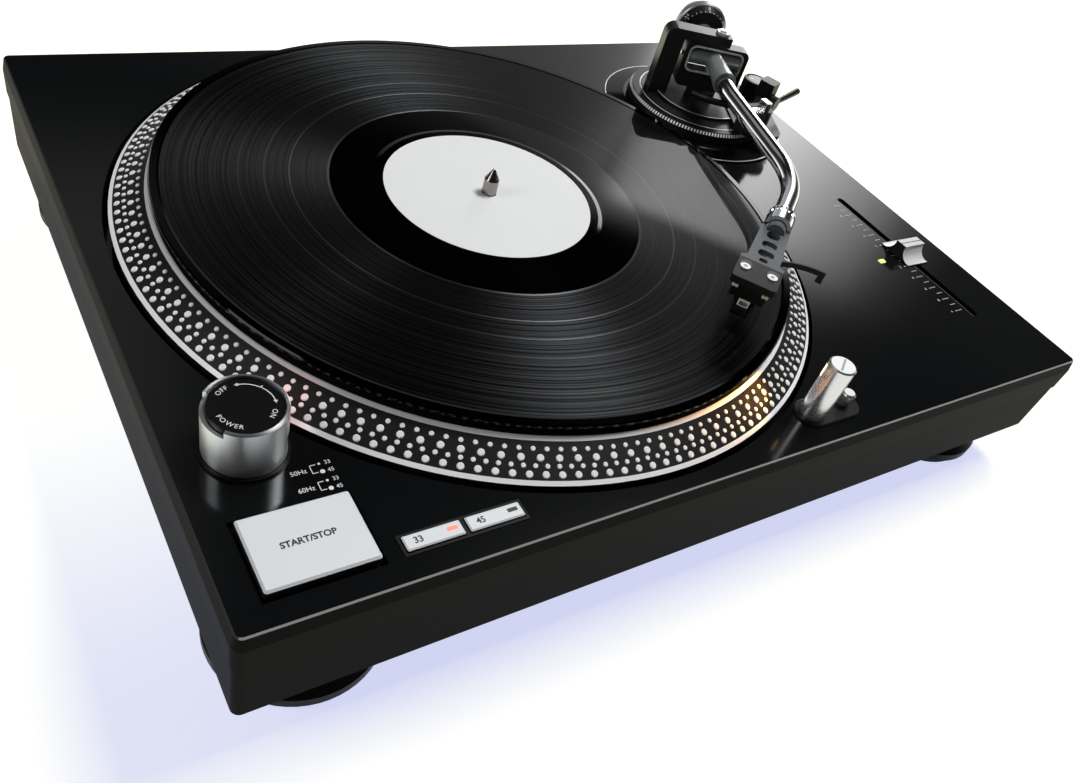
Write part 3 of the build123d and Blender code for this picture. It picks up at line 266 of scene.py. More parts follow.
def stage_paper():
    paper, tree, shader = new_finish("stage_paper", Base_Color=(0.50, 0.46, 0.15), Roughness=1.0,
                                     Specular_IOR_Level=0.0)
    here = object_place(tree)
    # Close in front of the player the paper's own light is the painted blue shade; further back and out it is
    # white.
    to_back = ramp(tree, parts_of(tree, here)["Y"], -0.16, 0.02)
    to_edge = ramp(tree, vector_node(tree, "LENGTH", here, output="Value"), 0.42, 0.70)
    pale = math_node(tree, "MAXIMUM", to_back, to_edge)
    tree.links.new(colour_mix(tree, pale, paper_painted_blue_shade, paper_far), shader.inputs["Emission Color"])
    path = tree.nodes.new("ShaderNodeLightPath").outputs
    mirrored = math_node(tree, "MAXIMUM", path["Is Glossy Ray"], path["Is Transmission Ray"])
    seen = math_node(tree, "MAXIMUM", path["Is Camera Ray"], mirrored)
    tree.links.new(seen, shader.inputs["Emission Strength"])
    return paper


floor_mesh = bpy.data.meshes.new("studio_floor")
bm = bmesh.new()
bmesh.ops.create_grid(bm, x_segments=1, y_segments=1, size=4.0)
bm.to_mesh(floor_mesh)
bm.free()
floor = bpy.data.objects.new("studio_floor", floor_mesh)
floor_mesh.materials.append(stage_paper())
scene.collection.objects.link(floor)
print("floor", floor.dimensions[:])

# %% [markdown]
# The world is the studio that the black surfaces mirror. A pale wall stands behind to the right: its light
# rises and falls with the bearing, and it stops at a clear upper edge. There is a faint light along the
# horizon and a weak one high on the left. The camera itself sees plain white.

# %% World with a pale wall
world = bpy.data.worlds.new("studio_world")
world.use_nodes = True
scene.world = world
tree = world.node_tree
direction = parts_of(tree, tree.nodes.new("ShaderNodeTexCoord").outputs["Generated"])
bearing = math_node(tree, "ARCTAN2", direction["Y"], direction["X"])
wall_stops = [(24, 0.03), (27, 0.3), (29, 1.1), (33, 2.9), (36, 4.4), (38, 5.0),
              (43, 5.0), (47, 0.7), (52, 0.36), (64, 0.34), (72, 0.1), (90, 0.02)]
wall_first, wall_last, wall_peak = wall_stops[0][0], wall_stops[-1][0], 5.5
share = tree.nodes.new("ShaderNodeMapRange")
share.inputs["From Min"].default_value = radians(wall_first)
share.inputs["From Max"].default_value = radians(wall_last)
tree.links.new(bearing, share.inputs["Value"])
curve = tree.nodes.new("ShaderNodeFloatCurve")
points = curve.mapping.curves[0].points
spots = [((place - wall_first) / (wall_last - wall_first), level / wall_peak) for place, level in wall_stops]
points[0].location = spots[0]
points[-1].location = spots[-1]
for spot in spots[1:-1]:
    points.new(*spot)
curve.mapping.update()
tree.links.new(share.outputs[0], curve.inputs["Value"])
wall_top = ramp(tree, bearing, radians(44), radians(66), 0.487, 0.430)
above_wall = math_node(tree, "SUBTRACT", direction["Z"], wall_top)
below_edge = ramp(tree, above_wall, -0.012, 0.006, wall_peak, 0.0)
wall = math_node(tree, "MULTIPLY", curve.outputs[0], below_edge)
horizon = ramp(tree, direction["Z"], 0.02, 0.16, 0.4, 0.005)
left_side = ramp(tree, bearing, radians(70), radians(80), 0.0, 0.22)
left_glow = math_node(tree, "MULTIPLY", left_side, ramp(tree, direction["Z"], 0.48, 0.58))
surround = math_node(tree, "ADD", math_node(tree, "ADD", wall, horizon), left_glow)
path = tree.nodes.new("ShaderNodeLightPath")
shown = value_mix(tree, path.outputs["Is Camera Ray"], surround, 1.0)
tree.links.new(shown, tree.nodes["Background"].inputs["Strength"])
tree.nodes["Background"].inputs["Color"].default_value = (1, 1, 1, 1)
print("wall from", wall_first, "to", wall_last, "degrees")

# %% [markdown]
# Most surfaces of the player share two effects: a fine grain, as paint and moulded plastic have, and the
# concentric lines that a lathe leaves. Each effect is one node group with named inputs, so every finish uses
# the same group with its own values. The groups put out colours and numbers only; the shader stays outside.

# %% Shared effects as node groups
def effect_group(name, inputs, outputs):
    group = bpy.data.node_groups.new(name, "ShaderNodeTree")
    for label, kind, value in inputs:
        socket = group.interface.new_socket(label, in_out="INPUT", socket_type="NodeSocket" + kind)
        socket.default_value = value
    for label, kind in outputs:
        group.interface.new_socket(label, in_out="OUTPUT", socket_type="NodeSocket" + kind)
    entry = group.nodes.new("NodeGroupInput")
    leave = group.nodes.new("NodeGroupOutput")
    return group, entry, leave


fine_grain, entry, leave = effect_group(
    "fine_grain",
    [("Dark", "Color", (0, 0, 0, 1)), ("Light", "Color", (1, 1, 1, 1)), ("Grain Scale", "Float", 1500.0),
     ("Smooth", "Float", 0.3), ("Rough", "Float", 0.5), ("Smudge Scale", "Float", 14.0)],
    [("Colour", "Color"), ("Roughness", "Float"), ("Height", "Float")],
)
place = object_place(fine_grain)
grain = fine_grain.nodes.new("ShaderNodeTexNoise")
grain.inputs["Detail"].default_value = 2.0
smudge = fine_grain.nodes.new("ShaderNodeTexNoise")
smudge.inputs["Detail"].default_value = 4.0
for texture, scale in ((grain, "Grain Scale"), (smudge, "Smudge Scale")):
    fine_grain.links.new(place, texture.inputs["Vector"])
    fine_grain.links.new(entry.outputs[scale], texture.inputs["Scale"])
grain_share = math_node(fine_grain, "MULTIPLY", grain.outputs[0], 0.5)
smudge_share = math_node(fine_grain, "MULTIPLY", smudge.outputs[0], 0.5)
both = math_node(fine_grain, "ADD", grain_share, smudge_share)
fine_grain.links.new(colour_mix(fine_grain, both, entry.outputs["Dark"], entry.outputs["Light"]),
                     leave.inputs["Colour"])
fine_grain.links.new(value_mix(fine_grain, both, entry.outputs["Smooth"], entry.outputs["Rough"]),
                     leave.inputs["Roughness"])
fine_grain.links.new(grain.outputs[0], leave.inputs["Height"])

lathe_lines, entry, leave = effect_group(
    "lathe_lines",
    [("Centre", "Vector", (0, 0, 0)), ("Axis", "Vector", (0, 0, 1)), ("Lines per Metre", "Float", 4000.0)],
    [("Radius", "Float"), ("Along", "Float"), ("Lines", "Float")],
)
place = object_place(lathe_lines)
from_centre = vector_node(lathe_lines, "SUBTRACT", place, entry.outputs["Centre"])
along = vector_node(lathe_lines, "DOT_PRODUCT", from_centre, entry.outputs["Axis"], "Value")
on_axis = vector_node(lathe_lines, "SCALE", entry.outputs["Axis"], along)
off_axis = vector_node(lathe_lines, "SUBTRACT", from_centre, on_axis)
radius = vector_node(lathe_lines, "LENGTH", off_axis, output="Value")
path_along = math_node(lathe_lines, "ADD", radius, along)
line_texture = lathe_lines.nodes.new("ShaderNodeTexNoise")
line_texture.noise_dimensions = "1D"
line_texture.inputs["Detail"].default_value = 3.0
lathe_lines.links.new(path_along, line_texture.inputs["W"])
lathe_lines.links.new(entry.outputs["Lines per Metre"], line_texture.inputs["Scale"])
lathe_lines.links.new(radius, leave.inputs["Radius"])
lathe_lines.links.new(along, leave.inputs["Along"])
lathe_lines.links.new(line_texture.outputs[0], leave.inputs["Lines"])
print("groups", [group.name for group in bpy.data.node_groups])

# %% [markdown]
# A finish is a material made from those groups. Paint, moulded plastic, rubber and anodised metal differ in
# colour, gloss, grain size and depth, so one function with a row of values per finish makes them all. The
# bump is a fraction of a millimetre deep, which is what a satin coat has.

# %% Grained finishes
def bump_to(tree, shader, height, strength, depth=0.0001):
    bump = tree.nodes.new("ShaderNodeBump")
    bump.inputs["Strength"].default_value = strength
    bump.inputs["Distance"].default_value = depth
    tree.links.new(height, bump.inputs["Height"])
    tree.links.new(bump.outputs[0], shader.inputs["Normal"])


def grain_in(tree, dark, light, scale, smooth, rough, smudge=14.0):
    node = tree.nodes.new("ShaderNodeGroup")
    node.node_tree = fine_grain
    node.inputs["Dark"].default_value = (*dark, 1)
    node.inputs["Light"].default_value = (*light, 1)
    node.inputs["Grain Scale"].default_value = scale
    node.inputs["Smooth"].default_value = smooth
    node.inputs["Rough"].default_value = rough
    node.inputs["Smudge Scale"].default_value = smudge
    return node


def grained_finish(name, dark, light, scale, smooth, rough, bump, **constants):
    finish, tree, shader = new_finish(name, **constants)
    grain = grain_in(tree, dark, light, scale, smooth, rough)
    dress(tree, shader, grain.outputs["Colour"], grain.outputs["Roughness"])
    if bump:
        bump_to(tree, shader, grain.outputs["Height"], bump)
    return finish


def grey(level, blue=1.0):
    return (level, level * (1 + (blue - 1) / 2), level * blue)


pan_plastic = grained_finish("pan_plastic", grey(0.004, 1.2), grey(0.010, 1.2), 1800, 0.36, 0.50, 0.15,
                             Specular_IOR_Level=0.0, Coat_Weight=0.11, Coat_Roughness=0.15)
pad_rubber = grained_finish("pad_rubber", grey(0.008), grey(0.020), 900, 0.75, 0.95, 0.4)
moulded_black = grained_finish("moulded_black", grey(0.004), grey(0.010), 1600, 0.28, 0.42, 0.10,
                               Specular_IOR_Level=0.15)
gloss_black = grained_finish("gloss_black", grey(0.003), grey(0.007), 600, 0.06, 0.12, 0.0)
anodised_black = grained_finish("anodised_black", grey(0.008, 1.1), grey(0.020, 1.1), 2200, 0.26, 0.36, 0.06,
                                Specular_IOR_Level=0.2, Metallic=0.15)
chrome = grained_finish("chrome", grey(0.62, 1.03), grey(0.74, 1.03), 90, 0.16, 0.24, 0.0, Metallic=1.0)
satin_trim = grained_finish("satin_trim", grey(0.62, 1.03), grey(0.76, 1.03), 900, 0.22, 0.34, 0.02,
                            Metallic=0.35)
tube_chrome = grained_finish("tube_chrome", grey(0.84, 1.03), grey(0.92, 1.03), 90, 0.08, 0.14, 0.0,
                             Metallic=1.0)
lamp_satin = grained_finish("lamp_satin", grey(0.70, 1.02), grey(0.82, 1.02), 700, 0.22, 0.30, 0.0,
                            Metallic=0.9)
bright_steel = grained_finish("bright_steel", grey(0.58, 1.03), grey(0.74, 1.03), 700, 0.16, 0.28, 0.03,
                              Metallic=1.0)
brass_gold = grained_finish("brass_gold", (0.55, 0.38, 0.14), (0.78, 0.58, 0.26), 500, 0.16, 0.30, 0.03,
                            Metallic=1.0)
board_green = grained_finish("board_green", (0.008, 0.05, 0.02), (0.02, 0.11, 0.045), 400, 0.35, 0.55, 0.1)
core_steel = grained_finish("core_steel", grey(0.10), grey(0.22), 800, 0.40, 0.60, 0.2, Metallic=0.8)
print("finishes", len(bpy.data.materials))

# %% [markdown]
# The deck is sprayed satin black. Its top got a clear coat that mirrors the wall behind softly, while its
# sides are dull. The narrow slanted edge between them is painted light grey as a highlight, lighter along the
# front than along the sides. The three could be separate pieces, but they are one casting, so the surface's
# normal tells them apart. The buttons are silver on top and dark at their sides in the same way, and the
# feet have a pale lower edge, which is a painted highlight.

# %% Finishes that follow the way a face looks
def normal_parts(tree):
    """The parts of the surface's normal along X, Y and Z."""
    return parts_of(tree, tree.nodes.new("ShaderNodeNewGeometry").outputs["Normal"])


def between(tree, value, low, high):
    above = math_node(tree, "GREATER_THAN", value, low)
    below = math_node(tree, "LESS_THAN", value, high)
    return math_node(tree, "MULTIPLY", above, below)


def two_tone(tree, shader, mask, first, second, bump=0.08):
    """Grain of one kind where the mask is 0, and of another where it is 1."""
    dress(tree, shader, colour_mix(tree, mask, first.outputs["Colour"], second.outputs["Colour"]),
          value_mix(tree, mask, first.outputs["Roughness"], second.outputs["Roughness"]))
    bump_to(tree, shader, first.outputs["Height"], bump)


deck_paint, tree, shader = new_finish("deck_paint", Specular_IOR_Level=0.0, Coat_Roughness=0.12, Coat_IOR=1.5)
spray = grain_in(tree, grey(0.002, 1.2), grey(0.006, 1.2), 2600, 0.34, 0.44)
facing = normal_parts(tree)
# The slanted edge is painted light grey as a highlight, lighter along the front than along the sides.
slanted = between(tree, facing["Z"], 0.55, 0.85)
front_highlight_share = ramp(tree, facing["Y"], -0.60, -0.45, 1.0, 0.0)
painted_edge_highlight = colour_mix(tree, front_highlight_share, grey(0.05, 1.1), grey(0.38, 1.04))
deck_colour = colour_mix(tree, slanted, spray.outputs["Colour"], painted_edge_highlight)
dress(tree, shader, deck_colour, spray.outputs["Roughness"])
top_coat = ramp(tree, facing["Z"], 0.93, 0.99, 0.0, 0.9)
side_coat = ramp(tree, facing["Z"], 0.30, 0.50, 0.12, 0.0)
tree.links.new(math_node(tree, "ADD", top_coat, side_coat), shader.inputs["Coat Weight"])
bump_to(tree, shader, spray.outputs["Height"], 0.12)

button_face, tree, shader = new_finish("button_face")
two_tone(tree, shader, ramp(tree, normal_parts(tree)["Z"], 0.45, 0.60),
         grain_in(tree, grey(0.010), grey(0.018), 1600, 0.35, 0.50),
         grain_in(tree, grey(0.70, 1.06), grey(0.80, 1.06), 2600, 0.36, 0.46), 0.04)

foot_plastic, tree, shader = new_finish("foot_plastic", Specular_IOR_Level=0.1)
# The foot's downward slanted lower edge is painted pale grey as a highlight.
two_tone(tree, shader, between(tree, normal_parts(tree)["Z"], -0.90, -0.30),
         grain_in(tree, grey(0.004), grey(0.010), 1500, 0.34, 0.48),
         grain_in(tree, grey(0.20), grey(0.30), 1500, 0.30, 0.40))
print("deck, buttons and feet follow their normals")

# %% [markdown]
# Turned pieces, such as the power ring, the counterweight and the arm's bearing housing, show fine rings from
# the lathe. The lines vary the gloss and lift the surface a few hundredths of a millimetre, about the piece's
# own axis, which comes from the frame.

# %% Turned finishes
def lines_in(tree, centre, axis, per_metre):
    node = tree.nodes.new("ShaderNodeGroup")
    node.node_tree = lathe_lines
    node.inputs["Centre"].default_value = centre
    node.inputs["Axis"].default_value = axis
    node.inputs["Lines per Metre"].default_value = per_metre
    return node


def brushed_round(tree, shader):
    """Run the shader's tangent round the upright axis, as fine rings do."""
    tangent = tree.nodes.new("ShaderNodeTangent")
    tangent.direction_type = "RADIAL"
    tangent.axis = "Z"
    tree.links.new(tangent.outputs[0], shader.inputs["Tangent"])


def turned_finish(name, dark, light, centre, axis, per_metre, smooth, rough, bump, **constants):
    finish, tree, shader = new_finish(name, **constants)
    rings = lines_in(tree, centre, axis, per_metre).outputs["Lines"]
    dress(tree, shader, colour_mix(tree, rings, dark, light), value_mix(tree, rings, smooth, rough))
    if bump:
        bump_to(tree, shader, rings, bump, 0.00005)
    return finish


power_silver = turned_finish("power_silver", grey(0.74, 1.05), grey(0.86, 1.05), tower_axis, upward, 5200,
                             0.26, 0.34, 0.03, Metallic=1.0, Anisotropic=0.8, Anisotropic_Rotation=0.25)
brushed_round(power_silver.node_tree, power_silver.node_tree.nodes["Principled BSDF"])
weight_silver = turned_finish("weight_silver", grey(0.30, 1.06), grey(0.40, 1.06), arm_pivot, arm_forward,
                              4200, 0.30, 0.44, 0.10, Metallic=0.75)
housing_grey = turned_finish("housing_grey", grey(0.32, 1.08), grey(0.44, 1.08), arm_pivot, arm_forward,
                             3600, 0.26, 0.38, 0.08, Metallic=0.55)
dial_black = turned_finish("dial_black", grey(0.004), grey(0.012), arm_pivot, arm_forward,
                           2600, 0.28, 0.42, 0.10, Specular_IOR_Level=0.2)
height_black = turned_finish("height_black", grey(0.004), grey(0.010), arm_pivot, upward,
                             2600, 0.24, 0.36, 0.08, Specular_IOR_Level=0.12)
knob_black = turned_finish("knob_black", grey(0.005), grey(0.012), knob_axis, upward, 2600, 0.28, 0.40, 0.08,
                           Specular_IOR_Level=0.2)
spindle_steel = turned_finish("spindle_steel", (0.26, 0.24, 0.22), (0.36, 0.33, 0.31), platter_axis, upward,
                              5000, 0.12, 0.22, 0.04, Metallic=1.0)
cap_black = turned_finish("cap_black", grey(0.004), grey(0.006), tower_axis, upward, 2400, 0.26, 0.30, 0.005,
                          Specular_IOR_Level=0.15)

shell_two_tone, tree, shader = new_finish("shell_two_tone", Specular_IOR_Level=0.1)
dark_front = 0.0915
along_shell = lines_in(tree, shell_start, shell_forward, 4000).outputs["Along"]
two_tone(tree, shader, math_node(tree, "GREATER_THAN", along_shell, dark_front),
         grain_in(tree, grey(0.085, 1.12), grey(0.125, 1.12), 2400, 0.34, 0.46),
         grain_in(tree, grey(0.008, 1.10), grey(0.015, 1.10), 2400, 0.30, 0.42))
print("turned finishes on", tower_axis[:], arm_pivot[:])

# %% [markdown]
# The platter is one cast and turned piece with three zones: a polished lip at the outside, a sloped black
# band that carries the strobe dots, and a polished ring round the mat. Its upright side is black as well.
# The zones are told apart by the distance from the platter's axis, so the edges between them are exact from
# every side.

# %% Platter with polished rings and a black band
band_inner, band_outer, mat_edge = 0.1523, 0.1653, 0.1503
platter_metal, tree, shader = new_finish("platter_metal", Specular_IOR_Level=0.25)
lines = lines_in(tree, platter_axis, upward, 3800).outputs
speckle = grain_in(tree, grey(0.002), grey(0.016), 3200, 0.34, 0.50, 3200)
sloped = between(tree, lines["Radius"], band_inner, band_outer)
under_mat = math_node(tree, "LESS_THAN", lines["Radius"], mat_edge)
upright = math_node(tree, "LESS_THAN", normal_parts(tree)["Z"], 0.4)
band = math_node(tree, "MAXIMUM", math_node(tree, "MAXIMUM", sloped, under_mat), upright)
polished = colour_mix(tree, lines["Lines"], grey(0.90, 1.02), grey(0.97, 1.02))
lathe_gloss = value_mix(tree, lines["Lines"], 0.14, 0.26)
dress(tree, shader, colour_mix(tree, band, polished, speckle.outputs["Colour"]),
      value_mix(tree, band, lathe_gloss, speckle.outputs["Roughness"]))
tree.links.new(value_mix(tree, band, 0.06, 0.0), shader.inputs["Metallic"])
bump_to(tree, shader, speckle.outputs["Height"], 0.08)
mat_felt = grained_finish("mat_felt", grey(0.006), grey(0.018), 1200, 0.85, 1.0, 0.5)
print("platter zones by radius about", platter_axis[:])

# %% [markdown]
# Vinyl shines along its grooves: a lamp gives two opposite wedges of light that meet at the spindle. Real
# grooves are far finer than a pixel, so the shader's anisotropy stands for them, with its tangent running
# round the middle. With Metallic at one, the dark base colour is simply how much each groove sends back. The
# bands between tracks are wider and brighter, the run-out by the label and the bead at the edge are smooth,
# and all of these are rings at known distances from the axis.

# %% Record and its paper label
track_gaps = [(0.0750, 0.00050, 0.9), (0.0820, 0.00030, 0.2), (0.0921, 0.00045, 0.8), (0.1002, 0.00025, 0.2),
              (0.1031, 0.00045, 0.5), (0.1141, 0.00035, 0.3), (0.1252, 0.00022, 0.2), (0.1338, 0.00022, 0.2)]
groove_inner, groove_outer = 0.0745, 0.1462
vinyl, tree, shader = new_finish("vinyl", Anisotropic=0.95, Anisotropic_Rotation=0.25, Coat_Weight=0.30,
                                 Coat_Roughness=0.02, Metallic=1.0)
lines = lines_in(tree, platter_axis, upward, 900).outputs
radius = lines["Radius"]
grooved = between(tree, radius, groove_inner, groove_outer)
gap_mask = None
for middle, half, strength in track_gaps:
    ring = math_node(tree, "MULTIPLY", between(tree, radius, middle - half, middle + half), strength)
    gap_mask = ring if gap_mask is None else math_node(tree, "MAXIMUM", gap_mask, ring)
groove_share = ramp(tree, lines["Lines"], 0.40, 0.60)
groove_black = colour_mix(tree, groove_share, grey(0.002, 1.1), grey(0.020, 1.1))
banded = colour_mix(tree, gap_mask, groove_black, grey(0.075, 1.1))
groove_gloss = ramp(tree, lines["Lines"], 0.35, 0.65, 0.34, 0.52)
gap_gloss = value_mix(tree, gap_mask, groove_gloss, 0.46)
dress(tree, shader, colour_mix(tree, grooved, grey(0.004), banded), value_mix(tree, grooved, 0.10, gap_gloss))
brushed_round(tree, shader)
line_height = math_node(tree, "MULTIPLY", lines["Lines"], grooved)
bump_to(tree, shader, math_node(tree, "ADD", line_height, gap_mask), 0.10, 0.00004)

pressed_inner, pressed_outer = 0.0161, 0.0168
label_paper, tree, shader = new_finish("label_paper", Specular_IOR_Level=0.25)
fibre = grain_in(tree, grey(0.70, 1.01), grey(0.77, 1.01), 1700, 0.55, 0.75, 40)
from_spindle = lines_in(tree, platter_axis, upward, 900).outputs["Radius"]
pressed = between(tree, from_spindle, pressed_inner, pressed_outer)
dress(tree, shader, fibre.outputs["Colour"], fibre.outputs["Roughness"])
pressed_height = math_node(tree, "SUBTRACT", fibre.outputs["Height"], pressed)
bump_to(tree, shader, pressed_height, 0.15, 0.00008)
print("record with", len(track_gaps), "gaps between tracks")

# %% [markdown]
# Lit plastics glow evenly and still show their moulded surface, so the glow is an emission colour that
# varies a little with the grain. The fader is a bright plate with dark cheeks: the cheeks are the faces
# farthest from the slot's middle line, so a test on X tells them apart.

# %% Lit lenses and the two-tone fader
def lit_finish(name, dark, light, strength, rough):
    finish, tree, shader = new_finish(name, Emission_Strength=strength, Coat_Weight=0.4)
    grain = grain_in(tree, dark, light, 700, rough, rough + 0.1)
    dress(tree, shader, grain.outputs["Colour"], grain.outputs["Roughness"])
    tree.links.new(grain.outputs["Colour"], shader.inputs["Emission Color"])
    return finish


strobe_red = lit_finish("strobe_red", (0.75, 0.01, 0.01), (1.0, 0.05, 0.03), 3.0, 0.15)
lens_warm = lit_finish("lens_warm", (1.0, 0.55, 0.20), (1.0, 0.72, 0.36), 4.0, 0.15)
pitch_green = lit_finish("pitch_green", (0.55, 0.75, 0.12), (0.80, 0.95, 0.25), 1.2, 0.2)
lamp_red = lit_finish("lamp_red", (0.90, 0.12, 0.08), (1.0, 0.25, 0.18), 1.0, 0.25)

fader_low, fader_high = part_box("pitch_fader")
fader_middle = (fader_low + fader_high) / 2
cheek_depth = 0.0002
fader_two_tone, tree, shader = new_finish("fader_two_tone", Metallic=0.15)
place = parts_of(tree, object_place(tree))
sideways = math_node(tree, "ABSOLUTE", math_node(tree, "SUBTRACT", place["X"], fader_middle.x))
on_cheek = math_node(tree, "GREATER_THAN", sideways, (fader_high.x - fader_low.x) / 2 - cheek_depth)
two_tone(tree, shader, on_cheek, grain_in(tree, grey(0.62, 1.05), grey(0.76, 1.05), 2400, 0.26, 0.36),
         grain_in(tree, grey(0.008), grey(0.016), 1500, 0.35, 0.50), 0.03)
print("lenses and fader finished")

# %% [markdown]
# Each solid keeps its mesh and gets one of the finishes. The table goes from finish to nodes, because most
# finishes serve several of them, and the last line tells whether a node was forgotten.

# %% Finishes onto the solids
finish_of = {
    deck_paint: ["top_deck"],
    pan_plastic: ["base_pan"],
    foot_plastic: ["feet"],
    pad_rubber: ["foot_pads", "drive_belt"],
    moulded_black: ["strobe_tower", "speed_bezel", "pitch_track", "target_seat", "mains_inlet", "arm_rest",
                    "cue_lever", "lift_platform", "cartridge", "stylus"],
    cap_black: ["tower_cap"],
    gloss_black: ["arm_base"],
    anodised_black: ["arm_mount", "gimbal_bracket", "gimbal_yoke", "finger_lift"],
    shell_two_tone: ["headshell"],
    button_face: ["start_stop_button", "button_33", "button_45"],
    chrome: ["arm_clip"],
    tube_chrome: ["arm_tube", "headshell_collar"],
    lamp_satin: ["target_lamp", "target_release"],
    bright_steel: ["deck_screws", "motor", "ground_terminal", "gimbal_pivots"],
    satin_trim: ["cartridge_screws", "pivot_screw"],
    brass_gold: ["bearing_housing", "motor_pulley", "line_sockets"],
    board_green: ["circuit_board"],
    core_steel: ["transformer"],
    power_silver: ["power_ring"],
    weight_silver: ["counterweight"],
    housing_grey: ["arm_housing", "rear_stub", "weight_bush"],
    dial_black: ["weight_dial"],
    height_black: ["height_ring"],
    knob_black: ["anti_skate_knob"],
    spindle_steel: ["spindle"],
    platter_metal: ["platter"],
    mat_felt: ["slip_mat"],
    vinyl: ["record"],
    label_paper: ["record_label"],
    strobe_red: ["strobe_lens"],
    lens_warm: ["target_lens"],
    pitch_green: ["pitch_light"],
    fader_two_tone: ["pitch_fader"],
}
dressed = set()
for finish, names in finish_of.items():
    for name in names:
        for slot in frame["nodes"][name].material_slots:
            slot.material = finish
        dressed.add(name)
left_out = sorted(set(frame["nodes"]) - dressed)
print("dressed", len(dressed), "of", len(frame["nodes"]), "nodes, left:", left_out)

# %% [markdown]
# New pieces end the same way: their normals are made to point outwards, the mesh goes into an object at the
# origin, and the object rides on a body and takes one of the finishes as its material.

# %% One way to finish a piece
def finish_piece(name, bm, finish, body):
    bmesh.ops.remove_doubles(bm, verts=bm.verts, dist=1e-7)
    bmesh.ops.recalc_face_normals(bm, faces=bm.faces)
    mesh = bpy.data.meshes.new(name)
    bm.to_mesh(mesh)
    bm.free()
    mesh.materials.append(finish)
    piece = bpy.data.objects.new(name, mesh)
    scene.collection.objects.link(piece)
    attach(piece, body)
    print(name, "has", len(mesh.polygons), "faces and rides on", body)
    return piece


def turned_shape(centre, outline):
    """A round shape: half of its outline, from axis to axis, spun about an upright axis."""
    bm = bmesh.new()
    profile = [bm.verts.new((centre.x + far, centre.y, z)) for far, z in outline]
    edges = [bm.edges.new(pair) for pair in zip(profile, profile[1:])]
    bmesh.ops.spin(bm, geom=edges + profile, cent=centre, axis=upward, angle=tau, steps=40, use_merge=True)
    return bm


# %% [markdown]
# The strobe dots are rows of small flat-topped bumps on the sloped band. Under a lamp that flickers with the
# mains, one row seems to stand still at each speed, which is why the rows have different counts. Each dot is
# a short cone with ten sides, because there are several hundred of them.

# %% Strobe dots
band_foot = Vector((0.1654, 0, 0.0020))
band_head = Vector((0.1520, 0, 0.0096))
slope = band_head - band_foot
slope_normal = Vector((slope.z, 0, -slope.x)).normalized()
dot_rows = [(160, 0.15, 0.00150), (216, 0.36, 0.00103), (133, 0.56, 0.00150), (180, 0.78, 0.00103)]
dot_height, dot_taper, dot_lift = 0.00036, 0.78, 0.4

bm = bmesh.new()
for count, share, dot_radius in dot_rows:
    seat = band_foot + slope * share + slope_normal * dot_height * dot_lift
    standing = axes_matrix(seat, Vector((0, 1, 0)), slope.normalized())
    for index in range(count):
        around = flat_on(platter_axis.x, platter_axis.y, deck_top, tau * index / count)
        bmesh.ops.create_cone(bm, cap_ends=True, segments=10, radius1=dot_radius,
                              radius2=dot_radius * dot_taper, depth=dot_height, matrix=around @ standing)
dot_white = grained_finish("dot_white", grey(0.88), grey(0.96), 1200, 0.30, 0.42, 0.05)
finish_piece("strobe_dots", bm, dot_white, "platter")

# %% [markdown]
# Printing on the player is thin ink. A text curve gives the letters, with a thickness of a few hundredths of
# a millimetre so that they are closed shapes; it is made a mesh first, and then placed. All words of one
# piece go into one mesh. Only generic words and numbers are printed.

# %% Lettering and ink helpers
INK = 0.00003


def letters(text, size, bold):
    curve = bpy.data.curves.new("letters", "FONT")
    curve.body = text
    curve.size = size
    curve.align_x = "CENTER"
    curve.align_y = "CENTER"
    curve.resolution_u = 3
    curve.extrude = INK
    curve.offset = bold * size
    holder = bpy.data.objects.new("letters", curve)
    scene.collection.objects.link(holder)
    mesh = bpy.data.meshes.new_from_object(holder.evaluated_get(bpy.context.evaluated_depsgraph_get()))
    bpy.data.objects.remove(holder)
    bpy.data.curves.remove(curve)
    return mesh


def add_mesh(bm, mesh, matrix):
    mesh.transform(matrix)
    bm.from_mesh(mesh)
    bpy.data.meshes.remove(mesh)


def print_word(bm, text, size, matrix, bold=0.0):
    add_mesh(bm, letters(text, size, bold), matrix)


def print_bar(bm, length, width, matrix):
    shape = Matrix.Diagonal((length, width, 2 * INK, 1))
    bmesh.ops.create_cube(bm, size=1.0, matrix=matrix @ shape)


def print_dot(bm, dot_radius, matrix):
    bmesh.ops.create_cone(bm, cap_ends=True, segments=16, radius1=dot_radius, radius2=dot_radius,
                          depth=2 * INK, matrix=matrix)


def spun_bar(bm, centre, inner, outer, low, high, first=0.0, last=tau, steps=96):
    """A thin bar bent into a ring or an arc, spun from its upright cross-section."""
    corners = [bm.verts.new((centre.x + far * cos(first), centre.y + far * sin(first), z))
               for far, z in ((inner, low), (outer, low), (outer, high), (inner, high))]
    face = bm.faces.new(corners)
    turned = [*face.edges, *corners]
    whole = last - first > tau - 0.001
    if whole:
        bmesh.ops.delete(bm, geom=[face], context="FACES_ONLY")
    else:
        turned.append(face)
    bmesh.ops.spin(bm, geom=turned, cent=centre, axis=upward, angle=last - first, steps=steps,
                   use_merge=whole)


white_ink = grained_finish("white_ink", grey(0.72), grey(0.84), 2500, 0.45, 0.6, 0.05)
black_ink = grained_finish("black_ink", grey(0.010), grey(0.020), 2500, 0.4, 0.55, 0.05)
print("ink", 2 * INK / MM, "mm thick")

# %% [markdown]
# The cap of the power tower says OFF, ON and POWER, with a double arrow for the way that the ring turns. The
# two positions stand with their feet to the middle, the word below stands upright to the front, letter by
# letter along the curve.

# %% Print on the power tower's cap
word_size, arrow_line = 0.0026, 0.00035
barb_length, barb_width, barb_middle, barb_slant = 0.0015, 0.00034, 0.0006, radians(24)
tick_radius, tick_length, tick = 0.0105, 0.0012, radians(42)
cap_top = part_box("tower_cap")[1].z + INK
cap_middle = flat_on(tower_axis.x, tower_axis.y, cap_top)


